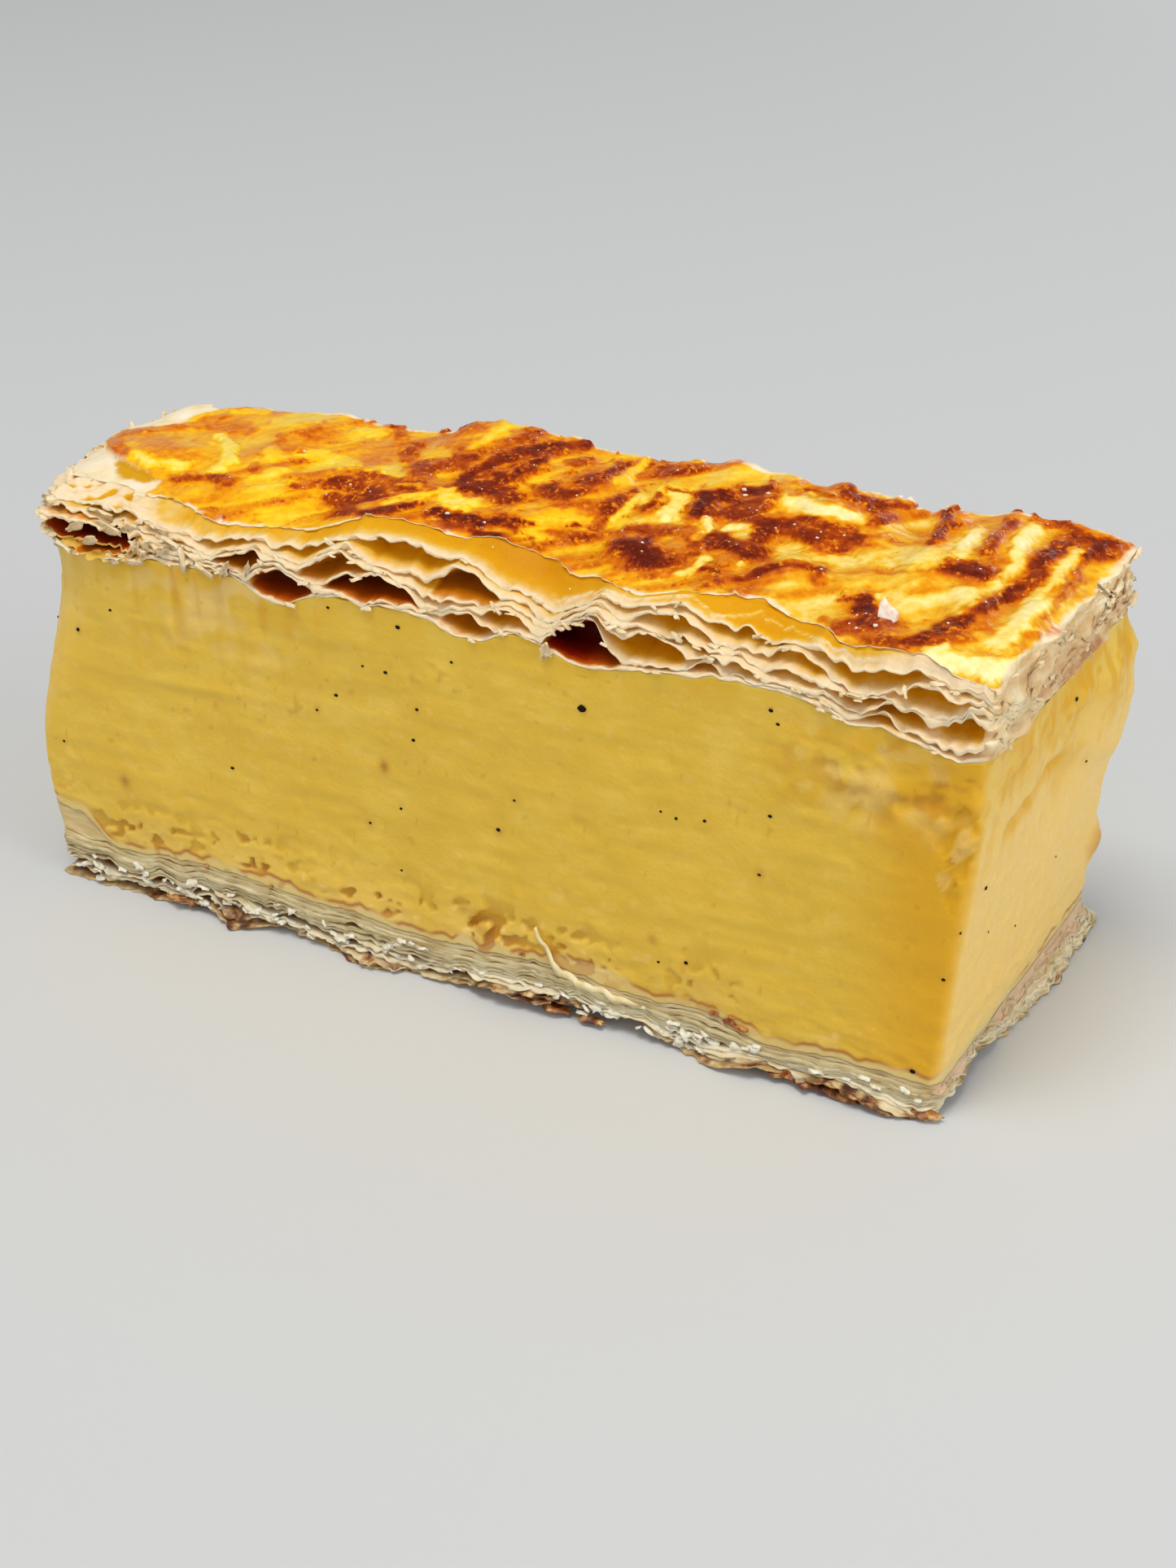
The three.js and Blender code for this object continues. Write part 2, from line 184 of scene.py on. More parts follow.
def noise(x, y, z, seed):
    """Smooth noise from -1 to 1 between the lattice points."""
    x, y, z = np.broadcast_arrays(np.asarray(x, float), np.asarray(y, float), np.asarray(z, float))
    i, j, k = np.floor(x), np.floor(y), np.floor(z)
    u, v, w = smooth(0, 1, x - i), smooth(0, 1, y - j), smooth(0, 1, z - k)

    def row(dj, dk):
        return mix(lattice(i, j + dj, k + dk, seed), lattice(i + 1, j + dj, k + dk, seed), u)

    return mix(mix(row(0, 0), row(1, 0), v), mix(row(0, 1), row(1, 1), v), w)


def waves(x, y, z, size, seed, octaves=1):
    """Noise over places in mm. size is the length of its waves in mm, or one for x and y and one for
    z. Each further octave is half as long and strong."""
    wide, tall = size if isinstance(size, tuple) else (size, size)
    total = 0.0
    for scale in 2 ** np.arange(octaves):
        total += noise(x / wide * scale, y / wide * scale, z / tall * scale, seed) / scale
        seed += 1
    return total


def tilted_waves(x, y, z, size, seed):
    """Noise on a turned and warped lattice, so that its patches show no grid."""
    warp = 0.4 * noise(x / (0.6 * size), y / size, z / (0.6 * size), seed + 40)
    across, up = 0.84 * x + 0.54 * z, 0.84 * z - 0.54 * x
    return noise(across / size + warp, y / size, 1.3 * up / size - warp, seed)


def line_distance(x, y, start, end):
    """Distance from points to a line between two points."""
    dx, dy = end[0] - start[0], end[1] - start[1]
    share = np.clip(((x - start[0]) * dx + (y - start[1]) * dy) / max(dx * dx + dy * dy, 1e-9), 0, 1)
    return np.hypot(x - start[0] - share * dx, y - start[1] - share * dy)


def line_reach(x, y, line):
    """Distance from points to a line of several points."""
    return np.minimum.reduce([line_distance(x, y, start, end) for start, end in zip(line, line[1:])])


def inside_distance(x, y, outline):
    """Distance into a closed outline, negative outside it."""
    inside = np.zeros(x.shape, bool)
    closed = outline + outline[:1]
    for (x0, y0), (x1, y1) in zip(closed, closed[1:]):
        at = x0 + (y - y0) * (x1 - x0) / (y1 - y0 if y1 != y0 else 1e-9)
        inside ^= ((y0 > y) != (y1 > y)) & (x < at)
    nearest = line_reach(x, y, closed)
    return np.where(inside, nearest, -nearest)


# The block's form, as in the solids

def corner_radius(u, v, z):
    worn = mix(CORNER["sharp"], CORNER["worn"], fade(CORNER, z))
    filled = fade(LEAF_CORNER, z)
    return np.where((u > 0) | (v > 0), CORNER["sharp"], mix(worn, LEAF_CORNER["radius"], filled))


def front_at(x, z):
    return FRONT["base"] + FRONT["skew"] * x + FRONT["lean"] * z


def footprint(a, b, z, terrace=0.0):
    """Point of the footprint at height z and the direction out of the block there. a and b run from
    -1 to 1, and terrace from 0 to 1 up the stepped leaves."""
    a, b, z, terrace = np.broadcast_arrays(*(np.asarray(value, float) for value in (a, b, z, terrace)))
    u, v = a * HALF_LENGTH, b * HALF_DEPTH
    radius = corner_radius(u, v, z)
    du = np.abs(u) - (HALF_LENGTH - radius)
    dv = np.abs(v) - (HALF_DEPTH - radius)
    in_corner = (du > 0) & (dv > 0)
    distance = np.where(in_corner, np.hypot(du, dv), 1.0)
    pull = np.maximum(du, dv) / distance
    side = np.abs(a) == 1
    out_x = np.where(in_corner, np.sign(u) * du / distance, np.where(side, a, 0.0))
    out_y = np.where(in_corner, np.sign(v) * dv / distance, np.where(side, 0.0, np.sign(b)))
    u = np.where(in_corner, np.sign(u) * (HALF_LENGTH - radius + du * pull), u)
    v = np.where(in_corner, np.sign(v) * (HALF_DEPTH - radius + dv * pull), v)

    belly = LEFT_BELLY["reach"] * fade(LEFT_BELLY, z)
    left = LEFT["base"] + LEFT["skew"] * v + LEFT["lean"] * z - belly + CRUST_STEP_LEFT * terrace
    right = RIGHT["base"] + RIGHT["skew"] * v + RIGHT["lean"] * np.minimum(z, RIGHT["upright_from"])
    x = mix(left, right, (u / HALF_LENGTH + 1) / 2)
    front = front_at(x, z) + along(CRUST_STEP, x) * terrace
    back = BACK["base"] + BACK["skew"] * x + BACK["lean"] * z
    y = mix(front, back, (v / HALF_DEPTH + 1) / 2)
    return {"x": x, "y": y, "out_x": out_x, "out_y": out_y, "corner": smooth(-3, 0, np.minimum(du, dv)),
            "front": np.maximum(0, -out_y), "right": np.maximum(0, out_x)}


def lower_seam(x, y):
    torn = sum(height * waves(x, y, 0, size, seed) for height, size, seed in LOWER_WANDER["layers"])
    return along(LOWER_SEAM, x + LOWER_WANDER["skew"] * y) + torn


def upper_seam(x, y):
    torn = sum(height * waves(x, y, 0, size, seed) for height, size, seed in UPPER_WANDER["layers"])
    return along(UPPER_SEAM, x + UPPER_WANDER["skew"] * (y + HALF_DEPTH)) + torn


def crust_form(x, y):
    """Top of the browned crust without its fine relief."""
    across = (y - CROWN["middle"]) / HALF_DEPTH
    height = along(CREST, x) - CROWN["height"] * across * across
    height += BUBBLE["height"] * waves(x, y, 0, BUBBLE["size"], BUBBLE["seed"])
    for middle_x, middle_y, half_length, half_depth, rise in BLISTERS:
        distance = np.hypot((x - middle_x) / half_length, (y - middle_y) / half_depth)
        height += rise * bell(distance, 1)
    turn = 2 * math.pi * (x + RIDGE["tilt"] * y) / RIDGE["spacing"]
    ridge = RIDGE["height"] * mix(0.15, 1.0, smooth(*RIDGE["fade"], y))
    return height + ridge * np.sin(turn) * fade(RIDGE, x)


def underside(x, y, inward):
    patch = waves(x, y, 0, LIFT["size"], LIFT["seed"])
    lift = LIFT["height"] * fade(LIFT, patch) * smooth(LIFT["width"], 0, inward)
    front = [rise * bell(x - middle, half_width) for middle, half_width, rise in FRONT_LIFTS]
    return np.maximum(lift, np.maximum.reduce(front) * smooth(FRONT_LIFT_DEPTH, 0, inward) * (y < 0))


# Meshes

def to_frame(points):
    """Points in mm in the cut block's frame, as metres in the row frame."""
    return (np.asarray(points, float) + CENTRE) * MM


def clamped(points, box):
    """Keeps points in mm inside a box of the row frame, given by two corners in metres."""
    low, high = (np.array(corner) / MM - CENTRE for corner in box)
    return np.clip(points, low, high)


def make_piece(name, points, faces, materials):
    """Mesh piece of the rigid body from points in mm. faces is a list of index lists."""
    mesh = bpy.data.meshes.new(name)
    mesh.from_pydata(to_frame(points).tolist(), [], faces)
    for material in materials:
        mesh.materials.append(material)
    mesh.polygons.foreach_set("use_smooth", np.full(len(mesh.polygons), True))
    mesh.update()
    piece = bpy.data.objects.new(name, mesh)
    bpy.context.scene.collection.objects.link(piece)
    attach(piece, "root")
    return piece


def add_loose(name, look, slot, points, faces):
    """Piece of small loose things, which stands for none of the solids."""
    return make_piece(name, clamped(points, (cad_low, cad_high)), faces, [grained(look)])


def stand_in(name, node, block, surfaces, wall, tints, materials):
    """Piece in the place of a solid. tints holds point attributes, each as values on the lower surface,
    on the upper surface and on the wall. The last material goes on the upper surface."""
    points, faces, on_top, lay_out = block.build(*surfaces, wall)
    piece = make_piece(name, clamped(points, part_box(node)), faces, materials)
    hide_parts(node)
    slots = on_top * (len(materials) - 1)
    piece.data.polygons.foreach_set("material_index", slots.astype(np.int32))
    for key, values in tints.items():
        attribute = piece.data.attributes.new(key, "FLOAT", "POINT")
        attribute.data.foreach_set("value", lay_out(*values).astype(np.float32))


class Block:
    """Closed body over the footprint's grid: an upper and a lower surface, and a wall of rows."""

    def __init__(self, columns, rows, top_step, bottom_step):
        self.columns, self.rows = columns, rows
        self.top_rows = list(range(0, rows + 1, top_step))
        self.bottom_rows = list(range(0, rows + 1, bottom_step))
        i, j = np.meshgrid(np.arange(columns + 1), np.arange(rows + 1), indexing="ij")
        self.a, self.b = 2 * i / columns - 1, 2 * j / rows - 1
        along_x = np.minimum(i, columns - i) * 2 * HALF_LENGTH / columns
        along_y = np.minimum(j, rows - j) * 2 * HALF_DEPTH / rows
        self.inward = np.minimum(along_x, along_y)
        edge = [(i, 0) for i in range(columns)] + [(columns, j) for j in range(rows)]
        edge += [(i, rows) for i in range(columns, 0, -1)] + [(0, j) for j in range(rows, 0, -1)]
        self.edge_i, self.edge_j = np.array(edge).T

    def edge(self, grid):
        return grid[self.edge_i, self.edge_j]

    def surface(self, height_at, rough_height, terrace=0.0):
        """x, y and z of the grid on a surface whose height is height_at(x, y, inward)."""
        rough = footprint(self.a, self.b, rough_height, terrace)
        height = height_at(rough["x"], rough["y"], self.inward)
        place = footprint(self.a, self.b, height, terrace)
        return place["x"], place["y"], height_at(place["x"], place["y"], self.inward)

    def edge_place(self, z, terrace=0.0):
        """Footprint of the edge at heights z, an array of places by rows."""
        return footprint(self.edge(self.a)[:, None], self.edge(self.b)[:, None], z, terrace)

    def grid_index(self, start, kept_rows):
        used = np.zeros(self.a.shape, bool)
        used[:, kept_rows] = True
        used[[0, -1], :] = True
        index = np.full(used.shape, -1)
        index[used] = start + np.arange(used.sum())
        return index, used

    @staticmethod
    def cap(index, kept_rows):
        """Faces between the kept rows, counter-clockwise from above."""
        faces = []
        for low, high in zip(kept_rows, kept_rows[1:]):
            quads = [index[1:-2, low], index[2:-1, low], index[2:-1, high], index[1:-2, high]]
            faces += np.stack(quads, 1).tolist()
            faces.append([index[0, low], index[1, low], index[1, high], *index[0, high:low:-1]])
            faces.append([index[-2, low], *index[-1, low:high + 1], index[-2, high]])
        return [[int(corner) for corner in face] for face in faces]

    def build(self, bottom, top, wall):
        """Points, faces, which faces are on the upper surface, and how to lay out point attributes.
        wall is an array of places by rows by x, y, z."""
        low_index, low_used = self.grid_index(0, self.bottom_rows)
        top_index, top_used = self.grid_index(int(low_used.sum()), self.top_rows)
        first = int(low_used.sum() + top_used.sum())
        bottom, top = np.stack(bottom, -1), np.stack(top, -1)
        bottom[self.edge_i, self.edge_j] = wall[:, 0]
        top[self.edge_i, self.edge_j] = wall[:, -1]
        places, bands = wall.shape[0], wall.shape[1] - 1
        between = wall[:, 1:-1].transpose(1, 0, 2).reshape(-1, 3)
        points = np.concatenate([bottom[low_used], top[top_used], between])
        ring = np.empty((bands + 1, places), int)
        ring[0], ring[-1] = self.edge(low_index), self.edge(top_index)
        ring[1:-1] = first + np.arange((bands - 1) * places).reshape(bands - 1, places)
        following = np.roll(ring, -1, axis=1)
        sides = np.stack([ring[:-1], following[:-1], following[1:], ring[1:]], -1).reshape(-1, 4)
        upper = self.cap(top_index, self.top_rows)
        lower = [face[::-1] for face in self.cap(low_index, self.bottom_rows)]
        faces = sides.tolist() + upper + lower
        on_top = np.repeat([0, 1, 0], [len(sides), len(upper), len(lower)])

        def lay_out(low_values, top_values, wall_values):
            low_values = np.full(self.a.shape, low_values, float)
            top_values = np.full(self.a.shape, top_values, float)
            wall_values = np.broadcast_to(wall_values, wall.shape[:2])
            low_values[self.edge_i, self.edge_j] = wall_values[:, 0]
            return np.concatenate([low_values[low_used], top_values[top_used],
                                   wall_values[:, 1:-1].T.reshape(-1)])

        return points, faces, on_top, lay_out


def wall_points(place, reach, z):
    return np.stack([place["x"] + place["out_x"] * reach, place["y"] + place["out_y"] * reach, z], -1)


def edge_spot(block, surface, z):
    """Places of a surface's edge, with the direction out of the block and whether they are on the front."""
    place = footprint(block.edge(block.a), block.edge(block.b), z)
    on_front = (block.edge(block.b) == -1).astype(float)
    return {**place, "x": block.edge(surface[0]), "y": block.edge(surface[1]), "front": on_front}


# Stacks of leaves at a cut, counted from below. Lengths are in mm, "steps" are shares of the crust's
# step, and the last leaf of the lower sheet is thicker where the sheet is higher than THICK_FROM.
UPPER_SHEET = {
    "seed": 71, "leaf": [0.4] * 7, "uneven": 0.8, "loose": [1] * 6, "ragged": [1] * 7,
    "gape_size": 5.5, "least": 0.05, "crinkle": 0.42, "fray": 0.45, "fine_fray": 0.26,
    "least_recess": 0.35, "recess": 1.1, "most": 4.5, "pale_rim": (0.8, 2.3),
    "steps": [0, 0.01, 0.05, 0.12, 0.24, 0.42, 1.0], "crease": 0.32,
}
LOWER_SHEET = {
    "seed": 61, "leaf": [0.2, 0.2, 0.22, 0.26, 0.34, 0.42, 0.5, 0.55, 0.5], "uneven": 0.6,
    "loose": [1.5, 1.3, 1.1, 0.7, 0.22, 0.15, 0.12, 0.1],
    "ragged": [1.3, 1.3, 1.1, 0.8, 0.4, 0.2, 0.15, 0.15, 0.1],
    "gape_size": 4, "least": 0.1, "crinkle": 0.12, "fray": 0.5, "fine_fray": 0.34,
    "least_recess": 0.2, "recess": 1.6, "most": 1.8, "pale_rim": (0.6, 0.6), "steps": [0] * 9,
    "crease": 0.3,
}
THICK_FROM = 6.4

# The leaf under the crust rises right up to it: share of its rise at the back, how golden it is, in
# all and along the slice, and a second, torn sheet that lies on it.
TOP_SHELF = {"cave": 0.3, "back": 0.97, "gold": 1.2, "deepest": 2.2}
SHELF_GOLD = [[-52, 0.05], [-43, 0.2], [-38, 0.8], [-18, 1.0], [-10, 1.1], [4, 1.1], [11, 0.8], [22, 1.0],
              [33, 2.0], [46, 2.0], [54, 0.6]]
SHELF_TEAR = {"share": 0.42, "wander": 0.25, "step": 0.3, "from": 10, "to": 14}
INSET_LIMIT = 9  # no place counts as further in than this many widths of the rim

# The left end is torn more, and golden below.
WILD_END = {"from": -36, "to": -46, "ragged": 1.5, "crease": 0.9, "gold": 0.75, "crumb": 0.55}

# Where the upper sheet changes along the slice: its crust gets thick, its top shelf deep, its hollows
# less toasted and less painted shade, and its lip less golden.
CRUST_THICK = (-46, -38)
SHELF_DEEP = (-24, -11)
LESS_TOASTED_AND_SHADED = (15, 30)
LESS_GOLDEN = (20, 34)

# Hollows in the front of the upper sheet: x, gap counted from below, half width, opening, depth in
# mm, and how dark it is inside: the leaves' baked colour, with painted shade deep in.
HOLLOWS = [
    [-21, 0, 4.3, 3, 4, 0.9], [3, 0, 3.5, 3, 3, 0.5], [16.6, 0, 4.7, 4.8, 6, 1], [25, 0, 2.1, 1, 2, 0.7],
    [30.7, 0, 2.1, 1.6, 2, 0.8], [49.6, 0, 2.5, 0.9, 2, 0.6], [57.4, 0, 2.6, 0.7, 2, 0.6],
    [-54, 0, 3.6, 1.4, 3.5, 0.9], [-58, 1, 3.4, 2.6, 5, 1], [-51, 3, 4.5, 0.8, 2.5, 0.5],
    [-46, 1, 3.4, 1.2, 3, 0.8], [-9, 1, 6.4, 2.8, 5, 0.85], [7.4, 1, 3.3, 2, 2, 0.3],
    [24, 1, 6.4, 3.4, 3.5, 0.2], [34, 1, 2.9, 1.8, 2, 0.3], [51.3, 1, 3.3, 2.2, 3, 0.5],
    [-26.7, 2, 3.5, 3, 4, 0.6], [-49.5, 2, 8.2, 5, 6, 0.95], [-14, 2, 4.8, 2.6, 3, 0.55],
    [28.6, 2, 2.9, 2, 2, 0.2], [47, 2, 3, 2, 2.5, 0.5], [39.7, 2, 3.1, 1.7, 2, 0.2],
    [2.1, 3, 4.1, 3.1, 3.5, 0.6], [26.5, 3, 4.2, 2.6, 2.5, 0.2], [54, 3, 4.3, 2.5, 2.5, 0.1],
    [39, 3, 3.6, 2.1, 2, 0.2], [-6, 4, 6.6, 2.5, 2.5, 0], [-18, 4, 3.8, 1.2, 1.5, 0],
    [33.5, 4, 5.4, 2.5, 2.5, 0], [48.5, 4, 6.4, 2.6, 3, 0.1], [-29, 4, 4.5, 2.2, 2, 0],
    [-46, 4, 5, 1.8, 2, 0], [9.5, 5, 8.6, 3.2, 2.5, 0.1], [35, 5, 7.6, 2.2, 2, 0], [49, 5, 8.8, 2.2, 2, 0],
    [-14, 5, 11, 1, 1, 0], [-34, 5, 9, 1.6, 2, 0],
]

# One gap between two leaves, as shares of its depth: in along the lower leaf, or along the shelf under
# the crust, and back out under the upper leaf.
FLOOR_SHARES = [0.06, 0.18, 0.4, 0.7, 1.0]
SHELF_SHARES = [0.03, 0.08, 0.15, 0.22, 0.3, 0.37, 0.44, 0.51, 0.58, 0.65, 0.72, 0.8, 0.9, 1.0]
CEILING_SHARES = [0.75, 0.45, 0.2, 0.06]
FLOOR_CURVE = 1.6
EVEN_FROM = 0.35  # share of a gap's depth from which its floor and ceiling have no ribs
LIP_FADE = 0.9  # mm in from the lip where its fine raggedness has gone
LIP_PROFILE = [(-0.05, 0.0), (0.04, 0.5), (-0.03, 1.0)]  # outward reach in mm, share of the leaf


def evened(values, reach=7):
    """Mean of each place's neighbours along the cut, which closes on itself."""
    return np.mean([np.roll(values, shift) for shift in range(-reach, reach + 1)], 0)


def open_hollows(x, front, gap, hollows):
    """Opening, depth and toast that the large hollows give to a gap."""
    wide, deep, dark = np.zeros_like(x), np.zeros_like(x), np.zeros_like(x)
    for middle, level, half_width, opening, depth, toast in hollows:
        if level == gap:
            lens = np.maximum(0.0, 1 - np.abs((x - middle) / half_width) ** 1.8) * front
            wide = np.maximum(wide, opening * lens)
            deep = np.maximum(deep, depth * np.sqrt(lens))
            dark = np.maximum(dark, toast * smooth(0, 0.2, lens))
    return wide, deep, dark


def leaf_waves(spot, leaf, coarse, fine, share, seed):
    """Coarse waves along a leaf and a share of fine ones, each given as its length in mm and how far
    apart it is drawn for one leaf and the next."""
    wave = waves(spot["x"], spot["y"], leaf * coarse[1], (coarse[0], 1), seed)
    return wave + share * waves(spot["x"], spot["y"], leaf * fine[1], (fine[0], 1), seed + 1)


def gap_shares(spot, gap, sheet):
    """Relative width of a gap where no large hollow opens it: lens shapes of a few millimetres."""
    x, y = spot["x"], spot["y"]
    wave = waves(x, y, gap * 3.7, (sheet["gape_size"], 1), sheet["seed"])
    ripple = waves(x, y, gap * 5.3, (1.6, 1), sheet["seed"] + 5)
    return sheet["loose"][gap] * (sheet["least"] + np.maximum(0.0, 0.25 + 1.3 * wave + 0.5 * ripple) ** 1.5)


def leaf_lip(spot, leaf, sheet):
    """Wander of a leaf's cut edge in mm outward, and the fine raggedness of its very lip."""
    wander = sheet["fray"] * waves(spot["x"], spot["y"], leaf * 2.3, (5, 1), sheet["seed"] + 1)
    fine = leaf_waves(spot, leaf, (1.3, 4.1), (0.6, 6.7), 0.7, sheet["seed"] + 2)
    return sheet["ragged"][leaf] * wander, sheet["ragged"][leaf] * sheet["fine_fray"] * fine


def leaf_sizes(spot, bottom, top, sheet, opened):
    """Thickness of each leaf and opening of each gap, which fill the height between bottom and top."""
    x, seed, leaves, tall = spot["x"], sheet["seed"], range(len(sheet["leaf"])), top - bottom
    uneven = np.array([leaf_waves(spot, leaf, (2.2, 2.9), (0.8, 4.3), 0.6, seed + 6) for leaf in leaves])
    thick = np.array(sheet["leaf"])[:, None] * np.maximum(0.35, 1 + sheet["uneven"] * uneven)
    thick[-1] = evened(thick[-1])
    if sheet is UPPER_SHEET:
        thick[3:] = thick[3:] * (1 + spot["corner"] * (x < 0))
        thick[-1] = thick[-1] * mix(1, mix(0.2, 0.45, smooth(*CRUST_THICK, x)), spot["front"])
    else:
        thick[-1] += np.maximum(0, tall - THICK_FROM)
    wide = np.array([hollow[0] for hollow in opened])
    thick *= 1 - 0.45 * smooth(0.3, 0.9, wide.sum(0) / tall)
    space = np.maximum(tall - thick.sum(0), 0.15 * tall)
    wide *= np.minimum(1.0, 0.88 * space / np.maximum(wide.sum(0), 1e-6))
    shares = np.array([gap_shares(spot, gap, sheet) for gap in leaves[:-1]])
    gaps = wide + (space - wide.sum(0)) * shares / shares.sum(0)
    crinkle = np.array([leaf_waves(spot, leaf, (1.5, 8.3), (0.7, 3.1), 0.5, seed + 8) for leaf in leaves])
    gaps = np.maximum(gaps + sheet["crinkle"] * np.diff(crinkle, axis=0), 0.03)
    scale = tall / (gaps.sum(0) + thick.sum(0))
    return thick * scale, gaps * scale


def torn_shelf(spot, floor, depth, share, wild):
    """Height and gold of the shelf under the crust at a share of its depth, with its torn sheet and, at
    the left end, its crumbs."""
    x, y, front = spot["x"], spot["y"], spot["front"]
    tear = SHELF_TEAR["share"] + SHELF_TEAR["wander"] * waves(x, y, 0, 2.5, 141)
    tear += 0.1 * waves(x, y, 0, 0.8, 142)
    reached = fade(SHELF_TEAR, x)
    torn = smooth(tear - 0.02, tear + 0.05, share) * reached * (share < 0.9)
    crumbly = wild * waves(x, y, 6 * share, (1.4, 1), 140) * smooth(0.02, 0.15, share) * (share < 0.95)
    floor = floor + front * (SHELF_TEAR["step"] * torn + WILD_END["crumb"] * crumbly)
    depth = depth * mix(1, 1 - 0.75 * bell(share - tear - 0.04, 0.05), reached * front)
    return floor, depth + 1.6 * front * smooth(0.25, 0.55, -crumbly)


def gap_rows(spot, z, opening, hollow, leaf, lips, sheet, wild):
    """Rows of the gap over a leaf, as in leaf_stack: in along the leaf and back out under the next."""
    x, y, front = spot["x"], spot["y"], spot["front"]
    low_step, high_step = sheet["steps"][leaf:leaf + 2]
    (wander, fine), (next_wander, next_fine) = lips[leaf:leaf + 2]
    under_crust = sheet is UPPER_SHEET and leaf == len(lips) - 2
    cave = np.maximum(sheet["least_recess"] + sheet["recess"] * opening, hollow[1])
    cave = np.minimum(cave, sheet["most"]) * mix(1.0, 0.8, spot["corner"]) * mix(1.0, 0.15, spot["right"])
    shelf = (high_step - low_step) * (along(CRUST_STEP, x) * front)
    back = mix(0.45, 0.85, shelf / (shelf + cave))
    gold, deepest = 1, INSET_LIMIT
    if under_crust:
        cave = mix(cave, TOP_SHELF["cave"], front)
        back = mix(back, TOP_SHELF["back"], front)
        gold = mix(1, TOP_SHELF["gold"], front) * along(SHELF_GOLD, x)
        deepest = TOP_SHELF["deepest"] * mix(0.5, 1, smooth(*SHELF_DEEP, x)) + 0.6 * waves(x, y, 0, 3, 76)
        deepest = mix(INSET_LIMIT, deepest, front)
        cave *= mix(1, mix(0.1, 0.5, smooth(*CRUST_THICK, x)), front)
    toast = np.maximum(hollow[2], 0.2 * smooth(0.6, 1.6, opening) * (leaf < 3))
    toast *= mix(1, 0.4, smooth(*LESS_TOASTED_AND_SHADED, x))
    rim = mix(*sheet["pale_rim"], waves(x, y, leaf * 1.7, (3, 1), sheet["seed"] + 4) / 2 + 0.5)
    rim = mix(rim, np.minimum(rim, 0.55), toast)
    rows = []
    for share in SHELF_SHARES if under_crust else FLOOR_SHARES:
        lip = mix(wander, next_wander, share) + fine * smooth(LIP_FADE, 0, share * (cave + shelf))
        rise = share**FLOOR_CURVE
        floor = z + opening * back * rise
        even = evened(z) + evened(opening * back) * rise
        depth = np.minimum(gold * share * (cave + shelf) / rim, deepest)
        if under_crust:
            even = np.minimum(even, z + 0.98 * opening)
            floor = mix(floor, even, smooth(0, 0.3, share) * smooth(2, 4, shelf))
            floor, depth = torn_shelf(spot, floor, depth, share, wild)
        else:
            floor = mix(floor, even, smooth(0, EVEN_FROM, share))
        rows.append((floor, lip - share * cave, mix(low_step, high_step, share), depth, toast))
    # Under the upper leaf the colour turns from pale to golden and darker further in: painted shade.
    for share in CEILING_SHARES:
        lip = next_wander + next_fine * smooth(LIP_FADE, 0, share * cave)
        drop = share**FLOOR_CURVE
        ceiling = z + opening * (1 - (1 - back) * drop)
        if leaf < len(lips) - 2:
            even = evened(z + opening) - evened(opening * (1 - back)) * drop
            ceiling = mix(ceiling, even, smooth(0, EVEN_FROM, share))
        rows.append((ceiling, lip - share * cave, high_step, share * cave / rim, toast))
    return rows


def leaf_stack(spot, bottom, top, sheet, hollows):
    """Rows of a stack of leaves at each place of the cut, from the bottom up: height, outward reach,
    share of the crust's step, distance in from the leaf's pale rim, and how dark it is baked in a
    hollow, with painted shade deep in. spot holds arrays over the places."""
    x, y, front, seed = spot["x"], spot["y"], spot["front"], sheet["seed"]
    leaves, upper = len(sheet["leaf"]), sheet is UPPER_SHEET
    opened = [open_hollows(x, front, gap, hollows) for gap in range(leaves - 1)]
    thick, gaps = leaf_sizes(spot, bottom, top, sheet, opened)
    wild = fade(WILD_END, x) * upper
    calm = mix(1.0, 0.5, spot["right"]) * (1 + WILD_END["ragged"] * wild)
    lips = [[calm * part for part in leaf_lip(spot, leaf, sheet)] for leaf in range(leaves)]
    lip_gold = front * smooth(-0.5, 0.1, waves(x, y, 0, 4, 75)) * mix(1, 0.3, smooth(*LESS_GOLDEN, x)) * upper
    rows, z = [], bottom
    for leaf in range(leaves):
        last = leaf == leaves - 1
        for reach, share in LIP_PROFILE:
            lip = sum(lips[leaf]) + reach
            rows.append((z + share * thick[leaf], lip, sheet["steps"][leaf], lip_gold * last, 0))
        z = z + thick[leaf]
        if not last:
            rows += gap_rows(spot, z, gaps[leaf], opened[leaf], leaf, lips, sheet, wild)
            z = z + gaps[leaf]
    columns = [np.stack([value + 0 * x for value in column], 1) for column in zip(*rows)]
    height, reach, terrace, inset, toast = columns
    share = (height - bottom[:, None]) / (top - bottom)[:, None]
    crease = waves(x, y, 0, 2.6, seed + 10) + 0.6 * waves(x, y, 0, 1.1, seed + 11)
    crease = crease * sheet["crease"] * (1 + WILD_END["crease"] * wild)
    height += crease[:, None] * 4 * share * (1 - share) * smooth(5, 1, inset)
    inset += WILD_END["gold"] * (wild * front)[:, None] * smooth(0.6, 0.3, share)
    return height, reach, terrace, inset, toast
